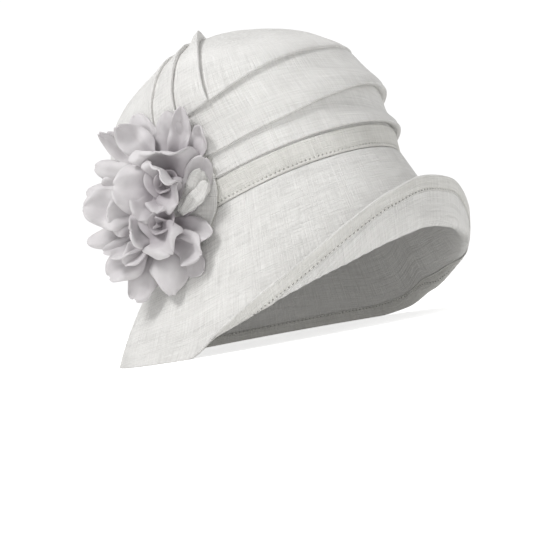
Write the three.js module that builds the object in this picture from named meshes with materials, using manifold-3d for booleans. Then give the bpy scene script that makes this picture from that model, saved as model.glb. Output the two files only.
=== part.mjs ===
// A soft linen cloche hat with tucks round its crown, a brim turned up at the front, and a
// two-rose flower on the wearer's right. Millimetres, +Z up, the face side towards -Y.
import * as THREE from "three";
import Module from "manifold-3d";

// Driving sizes, in mm and degrees.
const SEAM = { halfWidth: 87, halfLength: 104, height: 96.5, tilt: 16 };
const CROWN = { height: 143.5, wall: 2, foot: 0.4, columns: 40 };
const FOLD = { depth: 6, ramp: 0.7, lowReach: 7, midReach: 15, highReach: 17 };
const PLEAT = { depth: 3.2, ramp: 0.7, reach: 7, lean: 8 };
const BAND = { height: 17, wall: 1.2, gap: 0.3 };
const BRIM = { reach: 72, wall: 2, lift: 1.6, columns: 48 };
const HEM = { width: 11, wall: 0.8, gap: 0.5, inset: 1.5 };
const FLOWER = { reach: 75, petal: 1.2, gap: 0.35, stand: 6 };
const FLOWER_PLACE = { bearing: -96, level: 0.17, facing: -68, lean: 12, rise: 4 };

// The crown's skin, from the seam to the top: up is a share of the crown's height, and
// front, back and side are shares of the seam's half length and half width.
const CROWN_ROWS = [
  { up: 0.0, front: 1.0, back: 1.0, side: 1.0 },
  { up: 0.12, front: 1.02, back: 1.03, side: 1.03 },
  { up: 0.3, front: 1.03, back: 1.12, side: 1.07 },
  { up: 0.45, front: 1.0, back: 1.2, side: 1.1 },
  { up: 0.6, front: 0.93, back: 1.21, side: 1.09 },
  { up: 0.72, front: 0.81, back: 1.16, side: 1.01 },
  { up: 0.82, front: 0.67, back: 1.03, side: 0.87 },
  { up: 0.9, front: 0.49, back: 0.8, side: 0.66 },
  { up: 0.96, front: 0.28, back: 0.5, side: 0.41 },
  { up: 0.99, front: 0.12, back: 0.24, side: 0.2 },
  { up: 1.0, front: 0.0, back: 0.0, side: 0.0 },
];

// The three tucks round the crown, by bearing in degrees from the front, + to the wearer's
// left: low, mid and high are shares of the crown's height, the others of the fold's depth.
const TUCK_ROWS = [
  { bearing: -180, low: 0.12, mid: 0.27, high: 0.52, lowOut: 0.4, midOut: 0.1, highOut: 0.0 },
  { bearing: -150, low: 0.12, mid: 0.26, high: 0.5, lowOut: 0.4, midOut: 0.15, highOut: 0.0 },
  { bearing: -120, low: 0.12, mid: 0.25, high: 0.47, lowOut: 0.4, midOut: 0.25, highOut: 0.15 },
  { bearing: -75, low: 0.12, mid: 0.24, high: 0.46, lowOut: 0.45, midOut: 0.5, highOut: 0.5 },
  { bearing: -60, low: 0.12, mid: 0.235, high: 0.475, lowOut: 0.5, midOut: 0.6, highOut: 0.6 },
  { bearing: -45, low: 0.12, mid: 0.245, high: 0.51, lowOut: 0.6, midOut: 0.7, highOut: 0.65 },
  { bearing: -30, low: 0.12, mid: 0.26, high: 0.545, lowOut: 0.7, midOut: 0.8, highOut: 0.65 },
  { bearing: -15, low: 0.12, mid: 0.285, high: 0.57, lowOut: 0.8, midOut: 0.9, highOut: 0.55 },
  { bearing: 0, low: 0.12, mid: 0.31, high: 0.59, lowOut: 0.9, midOut: 1.0, highOut: 0.4 },
  { bearing: 30, low: 0.12, mid: 0.34, high: 0.62, lowOut: 1.1, midOut: 1.0, highOut: 0.25 },
  { bearing: 60, low: 0.12, mid: 0.34, high: 0.63, lowOut: 1.0, midOut: 0.8, highOut: 0.15 },
  { bearing: 90, low: 0.12, mid: 0.33, high: 0.61, lowOut: 0.8, midOut: 0.5, highOut: 0.1 },
  { bearing: 135, low: 0.12, mid: 0.3, high: 0.55, lowOut: 0.5, midOut: 0.2, highOut: 0.0 },
  { bearing: 180, low: 0.12, mid: 0.27, high: 0.52, lowOut: 0.4, midOut: 0.1, highOut: 0.0 },
];

// The pleats from the top down behind the flower: bearing at their foot, and shares of the
// crown's height and of the pleat's depth.
const PLEAT_ROWS = [
  { bearing: -59, from: 0.44, to: 1.0, out: 1.0 },
  { bearing: -74, from: 0.4, to: 0.98, out: 0.9 },
  { bearing: -87, from: 0.35, to: 0.94, out: 0.75 },
];

// The brim by bearing: the knee is where its slope turns, the rim is its edge. Both stand out
// from the seam's ellipse by shares of the brim's reach, and up by shares of the seam's height;
// round is how much of the slopes the turn takes.
const BRIM_ROWS = [
  { bearing: -180, kneeOut: 0.48, kneeUp: 0.32, rimOut: 0.83, rimUp: 0.0, round: 0.9 },
  { bearing: -150, kneeOut: 0.48, kneeUp: 0.34, rimOut: 0.74, rimUp: 0.0, round: 0.9 },
  { bearing: -135, kneeOut: 0.49, kneeUp: 0.35, rimOut: 0.68, rimUp: 0.0, round: 0.9 },
  { bearing: -120, kneeOut: 0.47, kneeUp: 0.34, rimOut: 0.64, rimUp: 0.0, round: 0.9 },
  { bearing: -105, kneeOut: 0.42, kneeUp: 0.28, rimOut: 0.58, rimUp: 0.0, round: 0.85 },
  { bearing: -90, kneeOut: 0.36, kneeUp: 0.16, rimOut: 0.53, rimUp: 0.0, round: 0.7 },
  { bearing: -75, kneeOut: 0.42, kneeUp: 0.15, rimOut: 0.49, rimUp: 0.19, round: 0.55 },
  { bearing: -60, kneeOut: 0.42, kneeUp: 0.23, rimOut: 0.49, rimUp: 0.385, round: 0.45 },
  { bearing: -45, kneeOut: 0.42, kneeUp: 0.33, rimOut: 0.49, rimUp: 0.57, round: 0.4 },
  { bearing: -30, kneeOut: 0.43, kneeUp: 0.42, rimOut: 0.5, rimUp: 0.77, round: 0.35 },
  { bearing: -15, kneeOut: 0.45, kneeUp: 0.5, rimOut: 0.53, rimUp: 0.93, round: 0.35 },
  { bearing: 0, kneeOut: 0.46, kneeUp: 0.55, rimOut: 0.54, rimUp: 1.01, round: 0.35 },
  { bearing: 15, kneeOut: 0.48, kneeUp: 0.53, rimOut: 0.55, rimUp: 0.97, round: 0.35 },
  { bearing: 30, kneeOut: 0.49, kneeUp: 0.45, rimOut: 0.55, rimUp: 0.78, round: 0.4 },
  { bearing: 45, kneeOut: 0.46, kneeUp: 0.35, rimOut: 0.51, rimUp: 0.56, round: 0.45 },
  { bearing: 60, kneeOut: 0.42, kneeUp: 0.25, rimOut: 0.48, rimUp: 0.37, round: 0.5 },
  { bearing: 75, kneeOut: 0.4, kneeUp: 0.17, rimOut: 0.45, rimUp: 0.18, round: 0.55 },
  { bearing: 90, kneeOut: 0.36, kneeUp: 0.17, rimOut: 0.47, rimUp: 0.0, round: 0.7 },
  { bearing: 105, kneeOut: 0.37, kneeUp: 0.26, rimOut: 0.52, rimUp: 0.0, round: 0.85 },
  { bearing: 120, kneeOut: 0.39, kneeUp: 0.32, rimOut: 0.58, rimUp: 0.0, round: 0.9 },
  { bearing: 150, kneeOut: 0.44, kneeUp: 0.33, rimOut: 0.72, rimUp: 0.0, round: 0.9 },
  { bearing: 180, kneeOut: 0.48, kneeUp: 0.32, rimOut: 0.83, rimUp: 0.0, round: 0.9 },
];

// The flower's petals, inner ones first. Foot and tip are along, up and out in the flower's own
// frame, and width is the widest part, all as shares of the flower's reach. Arch bows the
// petal, cup lifts its sides, point sharpens its tip, curl bends its tip, and turn is degrees.
const PETAL_COLUMNS = [
  "name", "footAlong", "footUp", "footOut", "tipAlong", "tipUp", "tipOut", "width",
  "arch", "cup", "point", "curl", "turn",
];
const PETAL_ROWS = [
  ["upper_low", 0.05, 0.08, 0.21, 0.07, -0.16, 0.37, 0.27, 0.1, 0.35, 0.5, 0.1, 0],
  ["upper_front", 0.06, 0.12, 0.24, 0.23, -0.04, 0.45, 0.35, 0.05, 0.45, 0.5, -0.25, 0],
  ["upper_roll", 0.06, 0.06, 0.24, 0.13, 0.3, 0.45, 0.45, 0.05, 0.55, 0.5, 0.25, 0],
  ["low_front", 0.03, -0.29, 0.24, 0.18, -0.48, 0.45, 0.45, 0.05, 0.45, 0.5, -0.25, 0],
  ["low_left", -0.02, -0.31, 0.23, -0.21, -0.34, 0.43, 0.37, 0.05, 0.55, 0.5, 0.2, 0],
  ["under_upper", -0.02, 0.02, 0.2, -0.13, -0.21, 0.4, 0.29, 0.1, 0.3, 0.5, -0.1, 0],
  ["big_left", -0.02, 0.04, 0.2, -0.38, 0.1, 0.43, 0.48, 0.12, 0.35, 0.5, 0.05, 0],
  ["shell", 0.08, 0.19, 0.21, 0.07, 0.45, 0.37, 0.61, 0.05, 0.6, 0.5, 0.15, 0],
  ["low_right_b", 0.05, -0.38, 0.19, 0.52, -0.52, 0.24, 0.32, 0.05, 0.55, 0.6, 0.2, 20],
  ["right_wrap", 0.22, -0.17, 0.16, 0.48, 0.37, 0.21, 0.21, 0.15, 0.35, 0.7, 0, 25],
  ["mid_left", -0.15, -0.23, 0.19, -0.5, -0.19, 0.35, 0.37, 0.12, 0.4, 0.5, 0.1, 0],
  ["bottom", 0.02, -0.4, 0.16, 0.12, -0.92, 0.19, 0.45, 0.15, -0.35, 0.9, 0, 0],
  ["upper_left", -0.04, 0.25, 0.19, -0.41, 0.68, 0.27, 0.29, 0.06, 0.45, 0.9, 0.1, -10],
  ["top_heart", -0.01, 0.29, 0.16, 0.04, 0.83, 0.21, 0.35, 0.04, 0.3, 0.8, 0, 0],
  ["low_right", 0.1, -0.25, 0.16, 0.59, -0.38, 0.19, 0.29, 0.12, 0.35, 0.8, 0, -15],
  ["left_roll", -0.08, -0.4, 0.19, -0.45, -0.61, 0.32, 0.19, 0.1, 0.7, 0.5, 0, 20],
  ["bottom_roll", -0.03, -0.4, 0.2, -0.31, -0.66, 0.32, 0.21, 0.1, 0.7, 0.5, 0, 20],
  ["left_slip", -0.13, -0.39, 0.17, -0.55, -0.54, 0.29, 0.15, 0.08, 0.5, 0.5, 0, 0],
  ["far_left_b", -0.12, -0.12, 0.16, -0.75, -0.16, 0.35, 0.4, 0.15, 0.45, 0.6, 0.15, 0],
  ["left_c", -0.1, 0.12, 0.17, -0.71, 0.28, 0.29, 0.24, 0.1, -0.3, 0.5, -0.1, 0],
  ["left_a", -0.12, 0.14, 0.16, -0.7, 0.63, 0.23, 0.19, 0.06, 0.4, 0.9, 0.1, 0],
  ["far_left_a", -0.12, -0.02, 0.13, -0.82, 0.02, 0.27, 0.24, 0.12, -0.4, 0.5, -0.1, 0],
  ["top_right", 0.13, 0.27, 0.15, 0.23, 0.86, 0.19, 0.25, 0.06, 0.55, 1, -0.05, 15],
  ["right_top", 0.22, 0.24, 0.15, 0.45, 0.68, 0.17, 0.25, 0.06, 0.45, 0.6, -0.15, -15],
  ["top_left", -0.06, 0.22, 0.12, -0.36, 0.8, 0.15, 0.31, 0.05, 0.2, 0.8, 0, 0],
  ["left_b", -0.12, 0.2, 0.12, -0.63, 0.61, 0.16, 0.19, 0.1, -0.25, 0.6, 0, 0],
  ["low_right_c", 0.06, -0.44, 0.12, 0.48, -0.7, 0.12, 0.29, 0.06, 0.2, 0.7, 0, 0],
  ["bottom_dark", -0.13, -0.42, 0.13, -0.54, -0.77, 0.21, 0.37, 0.12, 0.35, 0.5, 0, 0],
  ["left_d", -0.12, 0.06, 0.12, -0.66, 0.07, 0.15, 0.29, 0.12, 0.2, 0.5, 0, 0],
  ["far_left_c", -0.1, -0.3, 0.12, -0.8, -0.46, 0.21, 0.23, 0.12, -0.3, 0.6, 0, 0],
  ["bottom_hang", -0.1, -0.44, 0.11, -0.3, -0.99, 0.11, 0.35, 0.1, 0.15, 0.5, 0, 0],
];
const TAB_ROWS = [
  ["leaf_tab_short", 0.26, -0.15, 0.15, 0.53, 0.15, 0.19, 0.15, 0.05, 0.15, 0.6, 0, 0],
  ["leaf_tab_long", 0.22, -0.16, 0.12, 0.49, 0.24, 0.16, 0.23, 0.05, 0.15, 0.7, 0, 0],
];

// The rolled centres of the two roses, in the same frame and shares; turns counts the roll.
const HEART_ROWS = [
  { name: "upper_heart", along: 0.11, up: 0.11, out: 0.22, radius: 0.1, tall: 0.2, turns: 1.2 },
  { name: "lower_heart", along: 0.08, up: -0.27, out: 0.22, radius: 0.11, tall: 0.2, turns: 1.3 },
];

// The oval patch behind the flower, in the same frame and shares.
const BACKING = { along: 0.26, up: 0.03, halfWide: 0.3, halfTall: 0.46, out: 0.085, wall: 1.2 };

const LINEN = { colour: 0xe9e7e0, roughness: 0.92 };
const LINEN_DARK = { colour: 0xdfddd3, roughness: 0.93 };
const PETAL_CLOTH = { colour: 0xe6e2e4, roughness: 0.75 };

const radians = (degrees) => (degrees * Math.PI) / 180;
const mix = (a, b, share) => a + (b - a) * share;
const clamp01 = (x) => Math.min(1, Math.max(0, x));
const ease = (x) => clamp01(x) * clamp01(x) * (3 - 2 * clamp01(x));

// A smooth curve through a table's points that never overshoots them.
function curve(xs, ys) {
  const last = xs.length - 1;
  const step = xs.slice(1).map((x, i) => x - xs[i]);
  const rise = step.map((h, i) => (ys[i + 1] - ys[i]) / h);
  const slope = ys.map((_, i) => {
    if (i === 0) return rise[0];
    if (i === last) return rise[last - 1];
    if (rise[i - 1] * rise[i] <= 0) return 0;
    const a = 2 * step[i] + step[i - 1];
    const b = step[i] + 2 * step[i - 1];
    return (a + b) / (a / rise[i - 1] + b / rise[i]);
  });
  return (x) => {
    let i = 0;
    while (i < last - 1 && x > xs[i + 1]) i += 1;
    const t = Math.min(1, Math.max(0, (x - xs[i]) / step[i]));
    const u = 1 - t;
    return (
      ys[i] * u * u * (1 + 2 * t) + slope[i] * step[i] * u * u * t +
      ys[i + 1] * t * t * (3 - 2 * t) - slope[i + 1] * step[i] * t * t * u
    );
  };
}

const columnOf = (rows, x, y) => curve(rows.map((r) => r[x]), rows.map((r) => r[y]));
const steps = CROWN_ROWS.map((_, i) => i / (CROWN_ROWS.length - 1));
const skinColumn = (name) => curve(steps, CROWN_ROWS.map((r) => r[name]));
const skin = Object.fromEntries(["up", "front", "back", "side"].map((n) => [n, skinColumn(n)]));
const tuckNames = ["low", "mid", "high", "lowOut", "midOut", "highOut"];
const tuck = Object.fromEntries(tuckNames.map((n) => [n, columnOf(TUCK_ROWS, "bearing", n)]));
const brimNames = ["kneeOut", "kneeUp", "rimOut", "rimUp", "round"];
const brimAt = Object.fromEntries(brimNames.map((n) => [n, columnOf(BRIM_ROWS, "bearing", n)]));
const wrap = (bearing) => ((((bearing + 180) % 360) + 360) % 360) - 180;

// From the seam's own plane, which leans, to the hat standing on the floor.
const lean = new THREE.Matrix4()
  .makeTranslation(0, 0, SEAM.height)
  .multiply(new THREE.Matrix4().makeRotationX(-radians(SEAM.tilt)));

// A point of the crown's smooth skin: step is 0 at the seam and 1 at the top.
function skinPoint(bearing, step) {
  const t = radians(bearing);
  const c = Math.cos(t);
  const long = c > 0 ? skin.front(step) : skin.back(step);
  const x = Math.sin(t) * skin.side(step) * SEAM.halfWidth;
  return new THREE.Vector3(x, -c * long * SEAM.halfLength, skin.up(step) * CROWN.height);
}

function skinNormal(bearing, step) {
  if (step > 0.995) return new THREE.Vector3(0, 0, 1);
  const small = 0.004;
  const low = Math.max(0, step - small);
  const along = skinPoint(bearing + 0.5, step).sub(skinPoint(bearing - 0.5, step));
  const up = skinPoint(bearing, step + small).sub(skinPoint(bearing, low));
  return along.cross(up).normalize();
}

// The step along the skin at a share of the crown's height.
function stepAt(share) {
  let low = 0;
  let high = 1;
  for (let i = 0; i < 40; i += 1) {
    const middle = (low + high) / 2;
    if (skin.up(middle) < share) low = middle;
    else high = middle;
  }
  return (low + high) / 2;
}

// How far a tuck stands out at a height above its line: a sharp step, then a slow fall.
const tuckOut = (above, depth, reach) =>
  above > 0 ? depth * ease(above / FOLD.ramp) * Math.exp(-above / reach) : 0;

// How far the crown's cloth stands out from the smooth skin. Lift moves the folds up and turn
// moves the pleats round, which the inner side needs to keep the wall even.
function clothOut(bearing, height, lift, turn) {
  const b = wrap(bearing);
  const H = CROWN.height;
  let out = 0;
  out += tuckOut(height - lift - tuck.low(b) * H, tuck.lowOut(b) * FOLD.depth, FOLD.lowReach);
  out += tuckOut(height - lift - tuck.mid(b) * H, tuck.midOut(b) * FOLD.depth, FOLD.midReach);
  out += tuckOut(height - lift - tuck.high(b) * H, tuck.highOut(b) * FOLD.depth, FOLD.highReach);
  for (const pleat of PLEAT_ROWS) {
    const share = height / H;
    const beyond = wrap(pleat.bearing - turn - b) * radians(1) * SEAM.halfWidth;
    const show = ease((share - pleat.from) / 0.12) * ease((pleat.to - share) / 0.08);
    const side = beyond > 0 ? ease(beyond / PLEAT.ramp) * Math.exp(-beyond / PLEAT.reach) : 0;
    out += PLEAT.depth * pleat.out * show * side;
  }
  return out;
}

// The crown's columns, with close pairs at the pleats so that their edges stay sharp.
function crownColumns() {
  const spacing = 360 / CROWN.columns;
  const edge = (PLEAT.ramp * 0.5) / (radians(1) * SEAM.halfWidth);
  const near = PLEAT_ROWS.flatMap(({ bearing }) => [bearing + edge, bearing - edge * 2.4]);
  const plain = [];
  for (let i = 0; i < CROWN.columns; i += 1) plain.push(-180 + i * spacing);
  const kept = plain.filter((b) => near.every((n) => Math.abs(n - b) > spacing * 0.35));
  return [...kept, ...near].sort((a, b) => a - b);
}

// The heights of one column, with close pairs at the tucks, then steps up to the top.
function crownSteps(bearing, lift) {
  const b = wrap(bearing);
  const H = CROWN.height;
  const low = tuck.low(b) * H + lift;
  const mid = tuck.mid(b) * H + lift;
  const high = tuck.high(b) * H + lift;
  const r = FOLD.ramp;
  const heights = [CROWN.foot, low * 0.5, low - r * 0.3, low + r];
  for (const share of [0.35, 0.68]) heights.push(mix(low, mid, share));
  heights.push(mid - r * 0.3, mid + r);
  for (const share of [0.25, 0.5, 0.75]) heights.push(mix(mid, high, share));
  heights.push(high - r * 0.3, high + r);
  const rows = heights.map((h) => stepAt(h / H));
  const start = rows[rows.length - 1];
  for (const share of [0.16, 0.33, 0.5, 0.67, 0.82, 0.93]) rows.push(mix(start, 1, share));
  return rows;
}

// One grid of points over the crown, a row of points for each height.
function crownGrid(columns, lift, turn, extra) {
  const top = new THREE.Vector3(0, 0, CROWN.height + extra).applyMatrix4(lean);
  const stacks = columns.map((bearing) =>
    crownSteps(bearing, lift).map((step, row) => {
      const up = skin.up(step);
      const b = bearing - turn + PLEAT.lean * ease((up - 0.45) / 0.5);
      const height = row === 0 ? CROWN.foot : up * CROWN.height;
      const out = clothOut(bearing - turn, height, lift, turn) + extra;
      const point = skinPoint(b, step).addScaledVector(skinNormal(b, step), out);
      if (row === 0) point.z = CROWN.foot;
      return point.applyMatrix4(lean);
    }),
  );
  return { stacks, top };
}

// Builds a closed mesh from points and faces.
function meshOf(points, faces) {
  const geometry = new THREE.BufferGeometry();
  const flat = points.flatMap((p) => [p.x, p.y, p.z]);
  geometry.setAttribute("position", new THREE.Float32BufferAttribute(flat, 3));
  geometry.setIndex(faces.flat());
  return geometry;
}

// A shell between an outer and an inner grid of columns that close on themselves. Each grid is
// a list of columns of points from the lower edge to the upper one; a top point closes a dome.
function shell(outer, inner, outerTop, innerTop) {
  const n = outer.length;
  const rows = outer[0].length;
  const points = [...outer.flat(), ...inner.flat()];
  const at = (side, column, row) => side * n * rows + (column % n) * rows + row;
  const faces = [];
  const quad = (a, b, c, d) => faces.push([a, b, c], [a, c, d]);
  for (let i = 0; i < n; i += 1) {
    for (let j = 0; j + 1 < rows; j += 1) {
      quad(at(0, i, j), at(0, i + 1, j), at(0, i + 1, j + 1), at(0, i, j + 1));
      quad(at(1, i, j), at(1, i, j + 1), at(1, i + 1, j + 1), at(1, i + 1, j));
    }
    quad(at(0, i, 0), at(1, i, 0), at(1, i + 1, 0), at(0, i + 1, 0));
    if (!outerTop) {
      const j = rows - 1;
      quad(at(0, i, j), at(0, i + 1, j), at(1, i + 1, j), at(1, i, j));
    }
  }
  if (outerTop) {
    points.push(outerTop, innerTop);
    const tip = points.length - 2;
    for (let i = 0; i < n; i += 1) {
      faces.push([at(0, i, rows - 1), at(0, i + 1, rows - 1), tip]);
      faces.push([at(1, i + 1, rows - 1), at(1, i, rows - 1), tip + 1]);
    }
  }
  return meshOf(points, faces);
}

function crown(grow) {
  const columns = crownColumns();
  const shift = CROWN.wall / (radians(1) * SEAM.halfWidth);
  const outer = crownGrid(columns, 0, 0, grow);
  const inner = crownGrid(columns, CROWN.wall, shift, -CROWN.wall - grow);
  return shell(outer.stacks, inner.stacks, outer.top, inner.top);
}

function hatBand(grow) {
  const spot = (bearing, height, out) => {
    const step = stepAt(height / CROWN.height);
    const point = skinPoint(bearing, step).addScaledVector(skinNormal(bearing, step), out);
    point.z = height;
    return point.applyMatrix4(lean);
  };
  const heights = [CROWN.foot - grow, BAND.height * 0.5, BAND.height + grow];
  const side = (out) => crownColumns().map((b) => heights.map((h) => spot(b, h, out)));
  return shell(side(BAND.gap + BAND.wall + grow), side(BAND.gap - grow));
}

// The brim's outer side along one bearing, from the seam down to the rim.
function brimLine(bearing) {
  const b = wrap(bearing);
  const t = radians(b);
  const ring = (out, up) => {
    const x = (SEAM.halfWidth + out * BRIM.reach) * Math.sin(t);
    const y = -(SEAM.halfLength + out * BRIM.reach) * Math.cos(t);
    return new THREE.Vector3(x, y, up * SEAM.height);
  };
  const top = skinPoint(b, 0).addScaledVector(skinNormal(b, 0), BRIM.lift).applyMatrix4(lean);
  const knee = ring(brimAt.kneeOut(b), brimAt.kneeUp(b));
  const rim = ring(brimAt.rimOut(b), brimAt.rimUp(b));
  const from = knee.clone().lerp(top, brimAt.round(b));
  const to = knee.clone().lerp(rim, brimAt.round(b));
  const line = [rim, to];
  for (const share of [0.75, 0.5, 0.25]) {
    const first = from.clone().lerp(knee, share);
    line.push(first.lerp(knee.clone().lerp(to, share), share));
  }
  line.push(from, top.clone().lerp(from, 0.5), top);
  return withHem(line);
}

// Adds a row at the hem's width from the rim, and moves the rows that come too near it away.
function withHem(line) {
  const far = [0];
  for (let i = 1; i < line.length; i += 1) far.push(far[i - 1] + line[i].distanceTo(line[i - 1]));
  const spot = (distance) => {
    let i = 1;
    while (i < line.length - 1 && far[i] < distance) i += 1;
    return line[i - 1].clone().lerp(line[i], (distance - far[i - 1]) / (far[i] - far[i - 1]));
  };
  const moved = far.slice(1).map((distance, i) => Math.max(distance, HEM.width + 3 * (i + 1)));
  return [0, HEM.width, ...moved].map(spot);
}

const BRIM_BEARINGS = Array.from({ length: BRIM.columns }, (_, i) => -180 + (i * 360) / BRIM.columns);

function brimNormals(grid) {
  const n = grid.length;
  return grid.map((line, i) =>
    line.map((_, j) => {
      const across = grid[(i + 1) % n][j].clone().sub(grid[(i + n - 1) % n][j]);
      const high = line[Math.min(j + 1, line.length - 1)];
      const down = line[Math.max(j - 1, 0)].clone().sub(high);
      return down.cross(across).normalize();
    }),
  );
}

// The brim's surface moved inwards by a depth, and kept off the floor along its own slope.
function brimSide(grid, normals, depth) {
  return grid.map((line, i) =>
    line.map((point, j) => {
      const moved = point.clone().addScaledVector(normals[i][j], -depth);
      if (moved.z >= 0) return moved;
      const along = line[j + 1].clone().sub(line[j]).normalize();
      return moved.addScaledVector(along, -moved.z / along.z);
    }),
  );
}

function brim(grow) {
  const grid = BRIM_BEARINGS.map((b) => brimLine(b));
  const normals = brimNormals(grid);
  return shell(brimSide(grid, normals, -grow), brimSide(grid, normals, BRIM.wall + grow));
}

// A strip along the inside of the rim, on the brim's two lowest rows.
function brimHem() {
  const grid = BRIM_BEARINGS.map((b) => brimLine(b));
  const normals = brimNormals(grid);
  const side = (depth) =>
    brimSide(grid, normals, depth).map(([edge, top]) => {
      const inset = HEM.inset / edge.distanceTo(top);
      return [edge.clone().lerp(top, inset), top];
    });
  const near = BRIM.wall + HEM.gap;
  return shell(side(near), side(near + HEM.wall));
}

// The flower's own frame: its middle on the crown's skin, along, up and out.
function flowerFrame() {
  const { bearing, level, facing, lean: roll, rise } = FLOWER_PLACE;
  const out = new THREE.Vector3(
    Math.sin(radians(facing)) * Math.cos(radians(rise)),
    -Math.cos(radians(facing)) * Math.cos(radians(rise)),
    Math.sin(radians(rise)),
  );
  const level0 = new THREE.Vector3(Math.cos(radians(facing)), Math.sin(radians(facing)), 0);
  const up0 = out.clone().cross(level0);
  const c = Math.cos(radians(roll));
  const s = Math.sin(radians(roll));
  const up = up0.clone().multiplyScalar(c).addScaledVector(level0, s);
  const along = level0.clone().multiplyScalar(c).addScaledVector(up0, -s);
  const middle = skinPoint(bearing, stepAt(level)).applyMatrix4(lean);
  middle.addScaledVector(out, FLOWER.stand);
  return { middle, along, up, out };
}

const frame = flowerFrame();
const inFlower = (a, u, o) =>
  frame.middle
    .clone()
    .addScaledVector(frame.along, a * FLOWER.reach)
    .addScaledVector(frame.up, u * FLOWER.reach)
    .addScaledVector(frame.out, o * FLOWER.reach);

// A thin patch with a front and a back grid of points, rows along it and columns across it.
function patch(front, back) {
  const rows = front.length;
  const across = front[0].length;
  const points = [...front.flat(), ...back.flat()];
  const at = (side, row, column) => side * rows * across + row * across + column;
  const faces = [];
  const quad = (a, b, c, d) => faces.push([a, b, c], [a, c, d]);
  for (let i = 0; i + 1 < rows; i += 1) {
    for (let j = 0; j + 1 < across; j += 1) {
      quad(at(0, i, j), at(0, i, j + 1), at(0, i + 1, j + 1), at(0, i + 1, j));
      quad(at(1, i, j), at(1, i + 1, j), at(1, i + 1, j + 1), at(1, i, j + 1));
    }
    quad(at(0, i, 0), at(0, i + 1, 0), at(1, i + 1, 0), at(1, i, 0));
    const j = across - 1;
    quad(at(0, i, j), at(1, i, j), at(1, i + 1, j), at(0, i + 1, j));
  }
  for (let j = 0; j + 1 < across; j += 1) {
    quad(at(0, 0, j), at(1, 0, j), at(1, 0, j + 1), at(0, 0, j + 1));
    const i = rows - 1;
    quad(at(0, i, j), at(0, i, j + 1), at(1, i, j + 1), at(1, i, j));
  }
  return meshOf(points, faces);
}

const PETAL_STEPS = [0, 0.28, 0.58, 0.84, 1];
const PETAL_ACROSS = [-1, -0.55, 0, 0.55, 1];

function petalWidth(step, point) {
  if (step < 0.55) return mix(0.34, 1, Math.sin((step / 0.55) * Math.PI * 0.5));
  const beyond = (step - 0.55) / 0.45;
  return Math.max(0.12, (1 - beyond * beyond) ** point);
}

function petal(row, grow) {
  const p = Object.fromEntries(PETAL_COLUMNS.map((name, i) => [name, row[i]]));
  const foot = inFlower(p.footAlong, p.footUp, p.footOut);
  const tip = inFlower(p.tipAlong, p.tipUp, p.tipOut);
  const long = tip.distanceTo(foot);
  const ahead = tip.clone().sub(foot).normalize();
  const face = frame.out.clone().addScaledVector(ahead, -frame.out.dot(ahead)).normalize();
  face.applyAxisAngle(ahead, radians(p.turn));
  const side = ahead.clone().cross(face);
  const half = (p.width * FLOWER.reach) / 2;
  const sheet = (offset) =>
    PETAL_STEPS.map((step) => {
      const bend = p.arch * Math.sin(Math.PI * step) + p.curl * clamp01((step - 0.5) / 0.5) ** 2;
      const ends = step === 0 ? -grow : step === 1 ? grow : 0;
      const middle = foot
        .clone()
        .addScaledVector(ahead, long * step + ends)
        .addScaledVector(face, long * bend + offset);
      const wide = half * petalWidth(step, p.point);
      return PETAL_ACROSS.map((c) =>
        middle
          .clone()
          .addScaledVector(side, c * (wide + grow))
          .addScaledVector(face, p.cup * wide * c * c),
      );
    });
  return patch(sheet(FLOWER.petal / 2 + grow), sheet(-FLOWER.petal / 2 - grow));
}

// A rolled strip, narrower at its foot, that stands along the flower's out direction.
function heart(row, grow) {
  const count = 14;
  const wall = FLOWER.petal / 2 + grow;
  const spot = (share, level, offset) => {
    const turn = share * row.turns * 2 * Math.PI;
    const radius = row.radius * FLOWER.reach * mix(1, 0.3, share) * mix(0.6, 1, level) + offset;
    const middle = inFlower(row.along, row.up, row.out + row.tall * level);
    return middle
      .addScaledVector(frame.along, Math.cos(turn) * radius)
      .addScaledVector(frame.up, Math.sin(turn) * radius)
      .addScaledVector(frame.out, (level * 2 - 1) * grow);
  };
  const sheet = (offset) =>
    Array.from({ length: count }, (_, i) =>
      [0, 1].map((level) => spot(i / (count - 1), level, offset)),
    );
  return patch(sheet(-wall), sheet(wall));
}

// The oval patch: rings of points round its middle, on a front and a back face.
function backing(grow) {
  const count = 20;
  const shares = [0, 0.5, 1];
  const spot = (ring, i, offset) => {
    const turn = (i / count) * 2 * Math.PI;
    const wide = BACKING.halfWide + grow / FLOWER.reach;
    const tall = BACKING.halfTall + grow / FLOWER.reach;
    const along = Math.cos(turn) * wide * shares[ring];
    const up = Math.sin(turn) * tall * shares[ring];
    const out = BACKING.out + offset / FLOWER.reach;
    return inFlower(BACKING.along + along, BACKING.up + up, out);
  };
  const points = [];
  for (const side of [1, -1]) {
    const offset = side * (BACKING.wall / 2 + grow);
    points.push(spot(0, 0, offset));
    for (const ring of [1, 2]) {
      for (let i = 0; i < count; i += 1) points.push(spot(ring, i, offset));
    }
  }
  const base = (side) => side * (1 + 2 * count);
  const at = (side, ring, i) => base(side) + 1 + (ring - 1) * count + (i % count);
  const faces = [];
  const add = (flip, a, b, c) => faces.push(flip ? [a, c, b] : [a, b, c]);
  for (const side of [0, 1]) {
    for (let i = 0; i < count; i += 1) {
      add(side, base(side), at(side, 1, i), at(side, 1, i + 1));
      add(side, at(side, 1, i), at(side, 2, i), at(side, 2, i + 1));
      add(side, at(side, 1, i), at(side, 2, i + 1), at(side, 1, i + 1));
    }
  }
  for (let i = 0; i < count; i += 1) {
    faces.push([at(0, 2, i), at(1, 2, i), at(1, 2, i + 1)]);
    faces.push([at(0, 2, i), at(1, 2, i + 1), at(0, 2, i + 1)]);
  }
  return meshOf(points, faces);
}

const solids = await Module();
solids.setup();

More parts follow.
